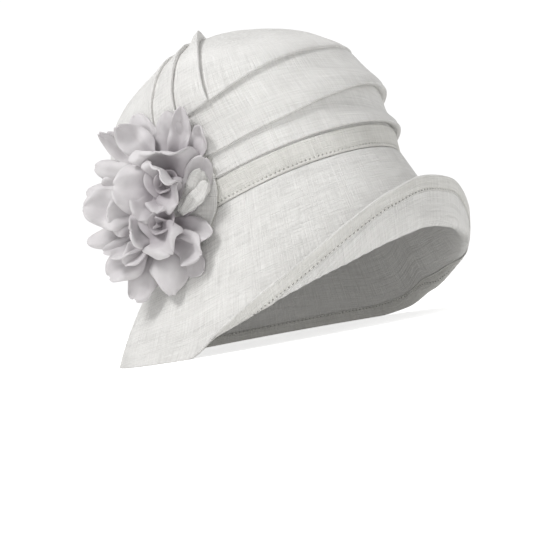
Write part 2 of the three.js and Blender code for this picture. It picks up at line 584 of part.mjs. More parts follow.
function toSolid(geometry) {
  const vertProperties = Float32Array.from(geometry.attributes.position.array);
  const triVerts = Uint32Array.from(geometry.index.array);
  return new solids.Manifold(new solids.Mesh({ numProp: 3, vertProperties, triVerts }));
}

function fromSolid(solid) {
  const mesh = solid.getMesh();
  const geometry = new THREE.BufferGeometry();
  const position = new THREE.BufferAttribute(Float32Array.from(mesh.vertProperties), 3);
  geometry.setAttribute("position", position);
  geometry.setIndex(new THREE.BufferAttribute(Uint32Array.from(mesh.triVerts), 1));
  return geometry;
}

const largest = (solid) =>
  solid.decompose().reduce((best, one) => (one.volume() > best.volume() ? one : best));

function build() {
  const group = new THREE.Group();
  const add = (name, geometry, cloth) => {
    geometry.computeVertexNormals();
    const { colour: color, roughness } = cloth;
    const material = new THREE.MeshStandardMaterial({ color, roughness, metalness: 0 });
    const mesh = new THREE.Mesh(geometry, material);
    mesh.name = name;
    group.add(mesh);
  };
  add("crown", crown(0), LINEN);
  add("hat_band", hatBand(0), LINEN_DARK);
  add("brim", brim(0), LINEN);
  const hem = largest(toSolid(brimHem()).subtract(toSolid(brim(HEM.gap * 0.6))));
  add("brim_hem", fromSolid(hem.simplify(0.05)), LINEN_DARK);

  // Each piece of the flower is cut back where a piece before it, or the hat, is in its way.
  let taken = toSolid(crown(FLOWER.gap)).add(toSolid(brim(FLOWER.gap)));
  taken = taken.add(toSolid(hatBand(FLOWER.gap)));
  const pieces = [
    ...HEART_ROWS.map((row) => [row.name, (grow) => heart(row, grow), PETAL_CLOTH]),
    ...PETAL_ROWS.map((row) => [`petal_${row[0]}`, (grow) => petal(row, grow), PETAL_CLOTH]),
    ...TAB_ROWS.map((row) => [row[0], (grow) => petal(row, grow), LINEN]),
    ["flower_backing", backing, LINEN],
  ];
  for (const [name, make, cloth] of pieces) {
    const kept = largest(toSolid(make(0)).subtract(taken));
    taken = taken.add(toSolid(make(FLOWER.gap)));
    add(name, fromSolid(kept), cloth);
  }

  // The group's middle goes over the origin, and its lowest face on the floor.
  const box = new THREE.Box3().setFromObject(group);
  const middle = box.getCenter(new THREE.Vector3());
  for (const mesh of group.children) mesh.geometry.translate(-middle.x, -middle.y, -box.min.z);
  return group;
}

export default build();
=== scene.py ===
"""A soft linen cloche hat: three tucks and three pleats in the crown, a stitched band, a brim
turned up at the front with a stitched hem, and a two-rose flower on an oval patch.
Lengths are in millimetres until to_scene(), which gives metres."""
import bisect
import math

import bpy
from mathutils import Matrix, Quaternion, Vector, noise
from mathutils.bvhtree import BVHTree


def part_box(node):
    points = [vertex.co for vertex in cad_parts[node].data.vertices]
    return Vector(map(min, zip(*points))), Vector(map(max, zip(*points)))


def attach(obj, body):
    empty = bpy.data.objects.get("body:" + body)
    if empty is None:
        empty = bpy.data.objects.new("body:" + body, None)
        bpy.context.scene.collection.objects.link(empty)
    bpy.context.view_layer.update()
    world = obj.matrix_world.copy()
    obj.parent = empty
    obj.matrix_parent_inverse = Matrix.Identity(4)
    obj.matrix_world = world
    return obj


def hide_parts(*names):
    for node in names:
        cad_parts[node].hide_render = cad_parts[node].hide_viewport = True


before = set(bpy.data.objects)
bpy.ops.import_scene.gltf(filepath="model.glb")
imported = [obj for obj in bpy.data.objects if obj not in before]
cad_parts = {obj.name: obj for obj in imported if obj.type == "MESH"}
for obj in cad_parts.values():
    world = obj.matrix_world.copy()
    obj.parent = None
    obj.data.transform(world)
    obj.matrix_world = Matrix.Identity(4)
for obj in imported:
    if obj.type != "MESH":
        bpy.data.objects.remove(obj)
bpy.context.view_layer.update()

# ---------------------------------------------------------------- the hat's sizes
SEAM_HALF_WIDTH, SEAM_HALF_LENGTH, SEAM_HEIGHT, SEAM_TILT = 87.0, 104.0, 96.5, 16.0
CROWN_HEIGHT, CROWN_FOOT, LINING_DEPTH, LINING_DROP = 143.5, 0.4, 2.0, 3.0
FOLD_DEPTH, FOLD_LIP, FOLD_UNDER, FOLD_DIP = 6.0, 2.1, 3.4, 0.16
LOW_REACH, MID_REACH, HIGH_REACH = 6.0, 11.5, 13.0
PLEAT_DEPTH, PLEAT_LIP, PLEAT_UNDER, PLEAT_REACH, PLEAT_LEAN = 3.4, 1.3, 1.7, 8.5, 8.0
BAND_HEIGHT, BAND_WALL, BAND_GAP = 17.0, 1.2, 0.3
BRIM_REACH, BRIM_WALL, BRIM_LIFT, BRIM_BACK = 72.0, 2.0, 1.6, 0.83
HEM_WIDTH, HEM_WALL, HEM_INSET = 11.0, 0.5, 1.2
STITCH_PITCH, STITCH_LENGTH, STITCH_RADIUS = 3.3, 2.3, 0.28
BAND_STITCH_ROW, HEM_STITCH_ROW = 3.0, 9.4
FLOWER_REACH, FLOWER_STAND, FLOWER_BEARING, FLOWER_LEVEL = 75.0, 6.0, -96.0, 0.17
FLOWER_FACING, FLOWER_RISE, FLOWER_LEAN = -68.0, 4.0, 12.0
PETAL_WALL, HEART_WALL, PETAL_HOLLOW = 1.5, 1.2, 0.14

# The crown's skin, from the seam to the top: up is a share of its height, the others are shares
# of the seam's half length (front, back) and half width (side).
CROWN_ROWS = (
    ("up", "front", "back", "side"),
    (0.0, 1.0, 1.0, 1.0),
    (0.12, 1.02, 1.03, 1.03),
    (0.3, 1.03, 1.12, 1.07),
    (0.45, 1.0, 1.2, 1.1),
    (0.6, 0.93, 1.21, 1.09),
    (0.72, 0.8, 1.16, 1.01),
    (0.82, 0.65, 1.03, 0.87),
    (0.9, 0.47, 0.8, 0.66),
    (0.96, 0.28, 0.5, 0.41),
    (0.99, 0.12, 0.24, 0.2),
    (1.0, 0.0, 0.0, 0.0),
)

# The three tucks by bearing from the front, + to the wearer's left: their lines are shares of
# the crown's height, and how far they stand out are shares of the fold's depth.
TUCK_ROWS = (
    ("bearing", "low", "mid", "high", "low_out", "mid_out", "high_out"),
    (-180, 0.12, 0.27, 0.52, 0.4, 0.1, 0.0),
    (-150, 0.12, 0.26, 0.5, 0.4, 0.15, 0.0),
    (-120, 0.12, 0.25, 0.47, 0.4, 0.25, 0.15),
    (-75, 0.12, 0.24, 0.46, 0.3, 0.35, 0.35),
    (-60, 0.12, 0.235, 0.475, 0.3, 0.46, 0.54),
    (-45, 0.12, 0.245, 0.51, 0.35, 0.55, 0.62),
    (-30, 0.12, 0.26, 0.545, 0.42, 0.65, 0.62),
    (-15, 0.12, 0.285, 0.57, 0.55, 0.78, 0.5),
    (0, 0.12, 0.31, 0.59, 0.75, 0.9, 0.35),
    (30, 0.12, 0.34, 0.62, 1.1, 1.0, 0.25),
    (60, 0.12, 0.34, 0.63, 1.0, 0.8, 0.15),
    (90, 0.12, 0.33, 0.61, 0.8, 0.5, 0.1),
    (135, 0.12, 0.3, 0.55, 0.5, 0.2, 0.0),
    (180, 0.12, 0.27, 0.52, 0.4, 0.1, 0.0),
)

# The pleats behind the flower: bearing, where they start and end up the crown, how far out, and
# how much further near the top.
PLEAT_ROWS = (
    (-59, 0.44, 1.0, 1.3, 1.0),
    (-74, 0.4, 0.98, 0.95, 0.1),
    (-87, 0.35, 0.94, 0.75, 0.0),
)

# The brim by bearing: its knee and its rim stand out by shares of its reach and up by shares of
# the seam's height, and round is how much of the slopes the turn at the knee takes.
BRIM_ROWS = (
    ("bearing", "knee_out", "knee_up", "rim_out", "rim_up", "round"),
    (-180, 0.48, 0.32, 0.83, 0.0, 0.9),
    (-150, 0.48, 0.34, 0.74, 0.0, 0.9),
    (-135, 0.49, 0.35, 0.68, 0.0, 0.9),
    (-120, 0.47, 0.34, 0.64, 0.0, 0.9),
    (-105, 0.42, 0.28, 0.58, 0.0, 0.85),
    (-90, 0.36, 0.16, 0.53, 0.0, 0.7),
    (-75, 0.42, 0.15, 0.49, 0.19, 0.55),
    (-60, 0.42, 0.23, 0.49, 0.385, 0.45),
    (-45, 0.42, 0.33, 0.49, 0.57, 0.4),
    (-30, 0.43, 0.42, 0.5, 0.77, 0.35),
    (-15, 0.45, 0.5, 0.53, 0.93, 0.35),
    (0, 0.46, 0.55, 0.54, 1.01, 0.35),
    (15, 0.48, 0.53, 0.55, 0.97, 0.35),
    (30, 0.49, 0.45, 0.55, 0.78, 0.4),
    (45, 0.46, 0.35, 0.51, 0.56, 0.45),
    (60, 0.42, 0.25, 0.48, 0.37, 0.5),
    (75, 0.4, 0.17, 0.45, 0.18, 0.55),
    (90, 0.37, 0.2, 0.47, 0.04, 0.7),
    (105, 0.37, 0.26, 0.52, 0.0, 0.85),
    (120, 0.39, 0.32, 0.58, 0.0, 0.9),
    (150, 0.44, 0.33, 0.72, 0.0, 0.9),
    (180, 0.48, 0.32, 0.83, 0.0, 0.9),
)

# The petals, inner ones first: foot and tip as (along, up, out) in the flower's own frame and
# the widest width, in shares of the flower's reach; then arch, cup, point, curl, turn in
# degrees, and roll, which bends the sides back.
PETAL_ROWS = (
    ("upper_low", (0.05, 0.08, 0.21), (0.07, -0.16, 0.37), 0.27, 0.1, 0.35, 0.5, 0.1, 0, 0.1),
    ("upper_front", (0.06, 0.12, 0.24), (0.23, -0.04, 0.45), 0.35, 0.05, 0.45, 0.5, -0.25, 0, 0.2),
    ("upper_roll", (0.06, 0.06, 0.24), (0.13, 0.3, 0.45), 0.45, 0.05, 0.55, 0.5, 0.25, 0, 0.15),
    ("low_front", (0.03, -0.29, 0.24), (0.18, -0.48, 0.45), 0.45, 0.05, 0.45, 0.5, -0.25, 0, 0.2),
    ("low_left", (-0.02, -0.31, 0.23), (-0.21, -0.34, 0.43), 0.37, 0.05, 0.55, 0.5, 0.2, 0, 0.2),
    ("under_upper", (-0.02, 0.02, 0.2), (-0.13, -0.21, 0.4), 0.29, 0.1, 0.3, 0.5, -0.1, 0, 0.1),
    ("big_left", (-0.02, 0.04, 0.2), (-0.38, 0.1, 0.43), 0.48, 0.12, 0.35, 0.5, 0.05, 0, 0.2),
    ("shell", (0.08, 0.19, 0.21), (0.07, 0.45, 0.39), 0.63, 0.05, 0.45, 0.3, 0.15, 0, 0.3),
    ("low_right_b", (0.05, -0.38, 0.19), (0.52, -0.52, 0.24), 0.32, 0.05, 0.55, 0.6, 0.2, 20, 0.1),
    ("right_wrap", (0.22, -0.17, 0.16), (0.48, 0.37, 0.21), 0.29, 0.15, 0.3, 0.6, 0, 15, 0.1),
    ("mid_left", (-0.15, -0.23, 0.19), (-0.5, -0.19, 0.35), 0.37, 0.12, 0.4, 0.5, 0.1, 0, 0.2),
    ("bottom", (0.02, -0.4, 0.16), (0.13, -0.94, 0.19), 0.38, 0.2, -0.5, 1.5, 0, 0, 0.0),
    ("upper_left", (-0.04, 0.25, 0.19), (-0.41, 0.68, 0.27), 0.29, 0.06, 0.45, 0.9, 0.1, -10, 0.1),
    ("top_heart", (-0.01, 0.29, 0.16), (0.04, 0.83, 0.21), 0.37, 0.04, -0.25, 0.9, 0.1, 0, 0.0),
    ("low_right", (0.1, -0.25, 0.16), (0.57, -0.37, 0.19), 0.27, 0.12, 0.5, 0.9, 0.15, -15, 0.1),
    ("left_roll", (-0.08, -0.4, 0.19), (-0.45, -0.61, 0.32), 0.19, 0.1, 0.7, 0.5, 0, 20, 0.0),
    ("bottom_roll", (-0.03, -0.4, 0.2), (-0.31, -0.66, 0.32), 0.21, 0.1, 0.7, 0.5, 0, 20, 0.0),
    ("left_slip", (-0.13, -0.39, 0.17), (-0.55, -0.54, 0.29), 0.15, 0.08, 0.5, 0.5, 0, 0, 0.0),
    ("far_left_b", (-0.12, -0.12, 0.16), (-0.75, -0.16, 0.35), 0.4, 0.15, 0.45, 0.6, 0.15, 0, 0.2),
    ("left_c", (-0.1, 0.12, 0.17), (-0.71, 0.28, 0.29), 0.24, 0.1, -0.3, 0.5, -0.1, 0, 0.0),
    ("left_a", (-0.12, 0.14, 0.16), (-0.64, 0.6, 0.22), 0.19, 0.06, 0.6, 0.9, 0.12, 0, 0.0),
    ("far_left_a", (-0.12, -0.02, 0.13), (-0.82, 0.02, 0.27), 0.24, 0.12, -0.4, 0.5, -0.1, 0, 0.0),
    ("top_right", (0.13, 0.27, 0.15), (0.23, 0.86, 0.21), 0.23, 0.06, 0.8, 1.1, 0.1, 15, 0.0),
    ("right_top", (0.22, 0.24, 0.15), (0.45, 0.68, 0.19), 0.23, 0.06, 0.7, 0.7, 0.15, -15, 0.0),
    ("top_left", (-0.06, 0.22, 0.12), (-0.36, 0.8, 0.15), 0.31, 0.05, 0.2, 0.8, 0, 0, 0.2),
    ("left_b", (-0.12, 0.2, 0.12), (-0.63, 0.61, 0.16), 0.19, 0.1, -0.25, 0.6, 0, 0, 0.0),
    ("low_right_c", (0.06, -0.44, 0.12), (0.48, -0.7, 0.12), 0.29, 0.06, 0.2, 0.7, 0, 0, 0.1),
    ("bottom_dark", (-0.13, -0.42, 0.13), (-0.54, -0.77, 0.21), 0.37, 0.12, 0.35, 0.5, 0, 0, 0.1),
    ("left_d", (-0.12, 0.06, 0.12), (-0.66, 0.07, 0.15), 0.29, 0.12, 0.2, 0.5, 0, 0, 0.1),
    ("far_left_c", (-0.1, -0.3, 0.12), (-0.8, -0.46, 0.21), 0.23, 0.12, -0.3, 0.6, 0, 0, 0.0),
    ("bottom_hang", (-0.1, -0.44, 0.11), (-0.3, -0.99, 0.11), 0.35, 0.1, 0.15, 0.5, 0, 0, 0.1),
)
TAB_ROWS = (
    ("leaf_tab_short", (0.27, -0.15, 0.27), (0.55, 0.15, 0.33), 0.15, 0.05, 0.15, 0.6, 0, 0, 0.0),
    ("leaf_tab_long", (0.23, -0.16, 0.23), (0.5, 0.24, 0.29), 0.23, 0.05, 0.15, 0.7, 0, 0, 0.0),
)
# The roses' rolled hearts: along, up, out, radius, height, turns.
HEART_ROWS = (
    ("upper_heart", 0.11, 0.11, 0.22, 0.1, 0.2, 1.2),
    ("lower_heart", 0.08, -0.27, 0.22, 0.11, 0.2, 1.3),
)
# The oval patch: its middle, its half width and half height, and its wall in mm.
PATCH_ALONG, PATCH_UP, PATCH_OUT = 0.26, 0.03, 0.085
PATCH_WIDE, PATCH_TALL, PATCH_WALL = 0.3, 0.46, 1.2


# ---------------------------------------------------------------- small sums
def mix(a, b, share):
    return a + (b - a) * share


def clamp01(x):
    return min(1.0, max(0.0, x))


def ease(x):
    x = clamp01(x)
    return x * x * (3 - 2 * x)


def wrap(bearing):
    return (bearing + 180.0) % 360.0 - 180.0


def spread(start, end, count):
    """count values from start towards end, which is left for the next stretch."""
    return [mix(start, end, i / count) for i in range(count)]


def spread_to(start, end, count):
    """count even steps from start to end, both kept."""
    return [mix(start, end, i / count) for i in range(count + 1)]


def all_round(count):
    """Even bearings round the hat from the back, + to the wearer's left."""
    return [-180 + 360 * i / count for i in range(count)]


def distances(points):
    """How far each point lies along the line through them all."""
    far = [0.0]
    for a, b in zip(points, points[1:]):
        far.append(far[-1] + (b - a).length)
    return far


def turned_axes(bearing, rise, roll):
    """Right, up and out of something that faces a bearing, by its angles in degrees."""
    turn, rise, roll = (math.radians(angle) for angle in (bearing, rise, roll))
    level = math.cos(rise)
    out = Vector((math.sin(turn) * level, -math.cos(turn) * level, math.sin(rise)))
    right = Vector((math.cos(turn), math.sin(turn), 0))
    up = out.cross(right)
    c, s = math.cos(roll), math.sin(roll)
    return right * c + up * s, up * c - right * s, out


def smooth_curve(xs, ys):
    """A smooth curve through a table's points that never overshoots them."""
    last = len(xs) - 1
    step = [b - a for a, b in zip(xs, xs[1:])]
    rise = [(b - a) / h for a, b, h in zip(ys, ys[1:], step)]
    slope = [rise[0]]
    for i in range(1, last):
        if rise[i - 1] * rise[i] <= 0:
            slope.append(0.0)
            continue
        a, b = 2 * step[i] + step[i - 1], step[i] + 2 * step[i - 1]
        slope.append((a + b) / (a / rise[i - 1] + b / rise[i]))
    slope.append(rise[-1])

    def value(x):
        i = min(max(bisect.bisect_left(xs, x) - 1, 0), last - 1)
        t = clamp01((x - xs[i]) / step[i])
        u = 1 - t
        return (
            ys[i] * u * u * (1 + 2 * t) + slope[i] * step[i] * u * u * t
            + ys[i + 1] * t * t * (3 - 2 * t) - slope[i + 1] * step[i] * t * t * u
        )

    return value


def curves(rows, across=None):
    """A smooth curve for each named column of a table, over its first column or even steps."""
    names, values = rows[0], rows[1:]
    xs = [v[0] for v in values] if across else spread_to(0.0, 1.0, len(values) - 1)
    return {n: smooth_curve(xs, [v[k] for v in values]) for k, n in enumerate(names) if n != across}


SKIN = curves(CROWN_ROWS)
TUCK = curves(TUCK_ROWS, "bearing")
BRIM = curves(BRIM_ROWS, "bearing")
FINE_STEPS = 1200
SKIN_UPS = [SKIN["up"](i / FINE_STEPS) for i in range(FINE_STEPS + 1)]
DEGREE = math.radians(1)

# From the seam's own plane, which leans, to the hat standing on the floor.
LEAN = Matrix.Translation((0, 0, SEAM_HEIGHT)) @ Matrix.Rotation(-math.radians(SEAM_TILT), 4, "X")
band_low, band_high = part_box("hat_band")
_, brim_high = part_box("brim")
HAT_X = (band_low[0] + band_high[0]) / 2
HAT_Y = brim_high[1] - (SEAM_HALF_LENGTH + BRIM_BACK * BRIM_REACH) / 1000


def to_scene(point):
    return Vector((point.x / 1000 + HAT_X, point.y / 1000 + HAT_Y, point.z / 1000))


def ripple(bearing, size, waves, seed):
    """A closed unevenness round the hat, up to size in mm either way."""
    t = math.radians(bearing)
    return size * noise.noise(Vector((math.cos(t) * waves, math.sin(t) * waves, seed)))


# ---------------------------------------------------------------- the crown's form
# The dip above a fold's edge, in mm: how fast it sets in, and its middle and width.
DIP_START, DIP_MIDDLE, DIP_WIDTH = 0.8, 2.0, 1.5
# Up the crown: where the first pleat's crest sets in, where the pleats lean, and where the
# cloth's softness starts over the band; then how deep and how long its soft dents are, in mm.
CREST_FROM, LEAN_FROM, SOFT_FROM = 0.75, 0.45, 0.13
BROAD_DENT, BROAD_SIZE, FINE_DENT, FINE_SIZE = 0.55, 34.0, 0.25, 13.0
# How the upper two tucks' lines wander: size in mm, waves round and seed. And how far a fold's
# turned cloth bulges, as a share of what lies under it.
MID_WANDER, HIGH_WANDER, FOLD_BULGE = (0.7, 3.0, 4.0), (0.8, 2.5, 9.0), 0.4
LINING_STEPS, TOP_STEPS, CROWN_COLUMNS = 29, 36, 180


def skin_point(bearing, step):
    t = math.radians(bearing)
    c = math.cos(t)
    long = SKIN["front" if c > 0 else "back"](step)
    x = math.sin(t) * SKIN["side"](step) * SEAM_HALF_WIDTH
    return Vector((x, -c * long * SEAM_HALF_LENGTH, SKIN["up"](step) * CROWN_HEIGHT))


def skin_normal(bearing, step):
    if step > 0.995:
        return Vector((0, 0, 1))
    along = skin_point(bearing + 0.5, step) - skin_point(bearing - 0.5, step)
    up = skin_point(bearing, step + 0.004) - skin_point(bearing, max(0.0, step - 0.004))
    return along.cross(up).normalized()


def step_at(share):
    """The step along the skin at a share of the crown's height."""
    if share >= 1:
        return 1.0
    i = max(1, bisect.bisect_left(SKIN_UPS, share))
    low, high = SKIN_UPS[i - 1], SKIN_UPS[i]
    return (i - 1 + (share - low) / max(1e-9, high - low)) / FINE_STEPS


def lip(above, depth, reach, width, under):
    """How far a folded edge shifts the cloth along itself, and out, at a distance past its line."""
    t = above / width
    if t <= -1:
        return 0.0, 0.0
    if t <= 0:
        return under * ease(t + 1), 0.0
    if t < 1:
        turn = math.pi * t
        back = under * (0.5 + 0.5 * math.cos(turn)) - FOLD_BULGE * under * math.sin(turn)
        return back, depth * (0.5 - 0.5 * math.cos(turn))
    past = above - width
    dip = FOLD_DIP * ease(past / DIP_START) * math.exp(-(((past - DIP_MIDDLE) / DIP_WIDTH) ** 2))
    return 0.0, depth * (math.exp(-0.5 * (past / reach) ** 2) - dip)


def tuck_lines(bearing):
    b = wrap(bearing)
    low = TUCK["low"](b) * CROWN_HEIGHT
    mid = TUCK["mid"](b) * CROWN_HEIGHT + ripple(b, *MID_WANDER)
    high = TUCK["high"](b) * CROWN_HEIGHT + ripple(b, *HIGH_WANDER)
    return low, mid, high


def crown_cloth(bearing, height):
    """The crown's cloth at a bearing and height: shift up, shift round in mm, and out."""
    b = wrap(bearing)
    rise = turn = out = 0.0
    depths = (TUCK["low_out"](b), TUCK["mid_out"](b), TUCK["high_out"](b))
    for line, depth, reach in zip(tuck_lines(b), depths, (LOW_REACH, MID_REACH, HIGH_REACH)):
        up, away = lip(height - line, depth * FOLD_DEPTH, reach, FOLD_LIP, depth * FOLD_UNDER)
        rise, out = rise + up, out + away
    for bearing0, start, end, share, crest in PLEAT_ROWS:
        up = height / CROWN_HEIGHT
        share *= 1 + crest * ease((up - CREST_FROM) / 0.2)
        show = share * ease((up - start) / 0.12) * ease((end - up) / 0.08)
        past = wrap(bearing0 - b) * DEGREE * SEAM_HALF_WIDTH
        round_it, away = lip(past, show * PLEAT_DEPTH, PLEAT_REACH, PLEAT_LIP, show * PLEAT_UNDER)
        turn, out = turn - round_it, out + away
    return rise, turn, out


def crown_columns():
    """Bearings of the crown's columns, close together at the pleats' edges."""
    degree = DEGREE * SEAM_HALF_WIDTH
    near = []
    for bearing, *_ in PLEAT_ROWS:
        near += [bearing - PLEAT_LIP * k / 8 / degree for k in range(-8, 13)]
    plain = [b for b in all_round(CROWN_COLUMNS) if min(abs(b - n) for n in near) > 0.5]
    return sorted(plain + near)


def crown_stations(bearing):
    """(height, step) pairs up the outer side of one column; where step is None, height rules."""
    low, mid, high = tuck_lines(bearing)
    heights = spread(CROWN_FOOT, low - FOLD_LIP, 5)
    for line, following in ((low, mid), (mid, high), (high, None)):
        heights += spread(line - FOLD_LIP, line, 5) + spread(line, line + FOLD_LIP, 9)
        if following:
            heights += spread(line + FOLD_LIP, following - FOLD_LIP, 14)
    start = step_at((high + FOLD_LIP) / CROWN_HEIGHT)
    top = [(SKIN["up"](s) * CROWN_HEIGHT, s) for s in spread_to(start, 1.0, TOP_STEPS)]
    return [(h, None) for h in heights] + top


def pleat_lean(up):
    """How far round, in degrees, the pleats' columns have leant at a share of the height."""
    return PLEAT_LEAN * ease((up - LEAN_FROM) / 0.5)


def crown_outer(bearing, height, step):
    rise, turn, out = crown_cloth(bearing, height)
    if step is None or rise:
        step = step_at((height + rise) / CROWN_HEIGHT)
    up = SKIN["up"](step)
    b = bearing + pleat_lean(up) + math.degrees(turn / SEAM_HALF_WIDTH)
    point, normal = skin_point(b, step), skin_normal(b, step)
    soft = BROAD_DENT * noise.noise(point / BROAD_SIZE)
    soft += FINE_DENT * noise.noise(point / FINE_SIZE + Vector((5, 3, 1)))
    soft *= ease((up - SOFT_FROM) / 0.05) * ease((1 - step) / 0.04)
    point += normal * (out * ease((1 - step) / 0.03) + soft)
    return LEAN @ point


def crown_profile(bearing):
    """One column of the crown from the lining's top down, round the foot, and up the outside."""
    line = []
    for step in spread_to(1.0, 0.0, LINING_STEPS):
        b = bearing + pleat_lean(SKIN["up"](step))
        line.append(LEAN @ (skin_point(b, step) - skin_normal(b, step) * LINING_DEPTH))
    for depth in (LINING_DEPTH, LINING_DEPTH / 2, LINING_DEPTH / 4):
        edge = skin_point(bearing, 0) - skin_normal(bearing, 0) * depth
        line.append(LEAN @ (edge - Vector((0, 0, LINING_DROP))))
    return line + [crown_outer(bearing, h, s) for h, s in crown_stations(bearing)]


# ---------------------------------------------------------------- the brim's form
BRIM_COLUMNS, BRIM_STEPS, HEM_STEPS, BAND_COLUMNS, BAND_STEPS = 288, 56, 14, 240, 22
BRIM_BEARINGS = all_round(BRIM_COLUMNS)
# The brim's unevenness: size in mm, waves round and seed, and how far each reaches in mm.
RIM_WAVE, SEAM_PUCKER, HEM_PULL = (1.0, 4.0, 2.0), (0.35, 16.0, 6.0), (0.22, 19.0, 8.0)
RIM_REACH, PUCKER_REACH, PULL_REACH, BROAD_WAVE = 30, 9, 5, (0.8, 2.2, 12.0)
# How deep a row of stitches draws the cloth in, in the hem and the band, and how wide; then how
# deep the stitches themselves lie in it.
HEM_DENT, BAND_DENT, DENT_WIDTH, HEM_SINK, BAND_SINK = 0.3, 0.35, 0.8, 0.2, 0.3


def brim_line(bearing):
    """The brim's outer side along one bearing, from the rim to the seam, in small steps."""
    b = wrap(bearing)
    t = math.radians(b)

    def ring(out, up):
        x = (SEAM_HALF_WIDTH + out * BRIM_REACH) * math.sin(t)
        y = -(SEAM_HALF_LENGTH + out * BRIM_REACH) * math.cos(t)
        return Vector((x, y, up * SEAM_HEIGHT))

    top = LEAN @ (skin_point(b, 0) + skin_normal(b, 0) * BRIM_LIFT)
    knee = ring(BRIM["knee_out"](b), BRIM["knee_up"](b))
    rim = ring(BRIM["rim_out"](b), BRIM["rim_up"](b))
    start, end = knee.lerp(top, BRIM["round"](b)), knee.lerp(rim, BRIM["round"](b))
    line = [rim.lerp(end, share) for share in spread(0.0, 1.0, 10)]
    for share in spread(0.0, 1.0, 24):
        line.append(end.lerp(knee, share).lerp(knee.lerp(start, share), share))
    return line + [start.lerp(top, share) for share in spread_to(0.0, 1.0, 10)]


class BrimSheet:
    """The brim's surface, read by column, distance from the rim and depth below its outer side."""

    def __init__(self, rows=80):
        self.lengths, lines = [], []
        for bearing in BRIM_BEARINGS:
            line = brim_line(bearing)
            far = distances(line)
            self.lengths.append(far[-1])
            even, i = [], 1
            for k in range(rows + 1):
                want = far[-1] * k / rows
                while i < len(far) - 1 and far[i] < want:
                    i += 1
                share = (want - far[i - 1]) / max(1e-9, far[i] - far[i - 1])
                even.append(line[i - 1].lerp(line[i], clamp01(share)))
            lines.append(even)
        self.rows = rows
        self.points = [
            [p + self.slope(lines, c, k) * self.unevenness(c, k) for k, p in enumerate(line)]
            for c, line in enumerate(lines)
        ]
        self.normals = [
            [self.slope(self.points, c, k) for k in range(rows + 1)] for c in range(BRIM_COLUMNS)
        ]

    def slope(self, lines, column, row):
        left, right = lines[column - 1], lines[(column + 1) % BRIM_COLUMNS]
        line = lines[column]
        up = line[min(row + 1, self.rows)] - line[max(row - 1, 0)]
        return (right[row] - left[row]).cross(up).normalized()

    def unevenness(self, column, row):
        bearing, far = BRIM_BEARINGS[column], self.lengths[column] * row / self.rows
        shift = 0.0
        for wave, away, reach in (
            (RIM_WAVE, far, RIM_REACH),
            (SEAM_PUCKER, self.lengths[column] - far, PUCKER_REACH),
            (HEM_PULL, abs(far - HEM_STITCH_ROW), PULL_REACH),
        ):
            shift += ripple(bearing, *wave) * math.exp(-away / reach)
        return shift + ripple(bearing, *BROAD_WAVE) * math.sin(math.pi * row / self.rows)

    def spot(self, column, far, depth):
        """The point, and the outer side's normal there."""
        column %= BRIM_COLUMNS
        at = clamp01(far / self.lengths[column]) * self.rows
        k = min(int(at), self.rows - 1)
        point = self.points[column][k].lerp(self.points[column][k + 1], at - k)
        normal = self.normals[column][k].lerp(self.normals[column][k + 1], at - k).normalized()
        point = point - normal * depth
        point.z = max(point.z, 0.0)
        return point, normal


BRIM_SHEET = BrimSheet()


def brim_stations(column):
    """(distance from the rim, depth) down the outer side, round the rim, and up the inner side."""
    length = BRIM_SHEET.lengths[column]
    fars = spread_to(length - 0.8, 1.0, BRIM_STEPS)
    stations = [(length, 1.0), (length - 0.2, 0.4)] + [(f, 0.0) for f in fars]
    stations += [(0.3, 0.3), (0.0, 1.0), (0.3, 1.7)] + [(f, BRIM_WALL) for f in reversed(fars)]
    return stations + [(length - 0.2, 1.6), (length, 1.0)]


def brim_profile(column):
    stations = brim_stations(column)
    return [BRIM_SHEET.spot(column, far, depth)[0] for far, depth in stations]


def hem_profile(column):
    """The hem's strip inside the rim, with rounded edges."""
    near, away = BRIM_WALL + 0.02, BRIM_WALL + HEM_WALL
    middle = (near + away) / 2
    fars = spread_to(HEM_INSET, HEM_WIDTH, HEM_STEPS)
    stations = [(HEM_INSET - 0.4, middle)]
    for far in fars:
        dent = HEM_DENT * math.exp(-((far - HEM_STITCH_ROW) / DENT_WIDTH) ** 2)
        stations.append((far, away - dent))
    stations += [(HEM_WIDTH + 0.35, middle)] + [(f, near) for f in reversed(fars)]
    stations.append((HEM_INSET - 0.4, middle))
    return [BRIM_SHEET.spot(column, far, depth)[0] for far, depth in stations]


def band_spot(bearing, height, out):
    """A point that far out from the crown's skin at a height, and the skin's normal there."""
    step = step_at(height / CROWN_HEIGHT)
    normal = skin_normal(bearing, step)
    point = skin_point(bearing, step) + normal * out
    point.z = height
    return LEAN @ point, LEAN.to_3x3() @ normal


def band_profile(bearing):
    """The band's strip, rounded at its lower edge and drawn in along its stitching."""
    near, away = BAND_GAP, BAND_GAP + BAND_WALL
    heights = spread_to(0.5, BAND_HEIGHT - 0.5, BAND_STEPS)
    stations = [(0.0, (near + away) / 2)]
    for height in heights:
        dent = BAND_DENT * math.exp(-((height - BAND_STITCH_ROW) / DENT_WIDTH) ** 2)
        soft = ripple(bearing, 0.3, 9.0, height / 9) * ease((height - 4) / 5)
        stations.append((height, away - dent + soft))
    stations += [(BAND_HEIGHT, (near + away) / 2)] + [(h, near) for h in reversed(heights)]
    stations.append((0.0, (near + away) / 2))
    return [band_spot(bearing, height, out)[0] for height, out in stations]


# ---------------------------------------------------------------- the flower's form
# A petal's outline: its width at the foot and the least at the tip, as shares of the widest,
# and the shares of its length on either side of the widest place.
FOOT_WIDTH, TIP_WIDTH, FOOT_PART, TIP_PART = 0.34, 0.18, 0.55, 0.45
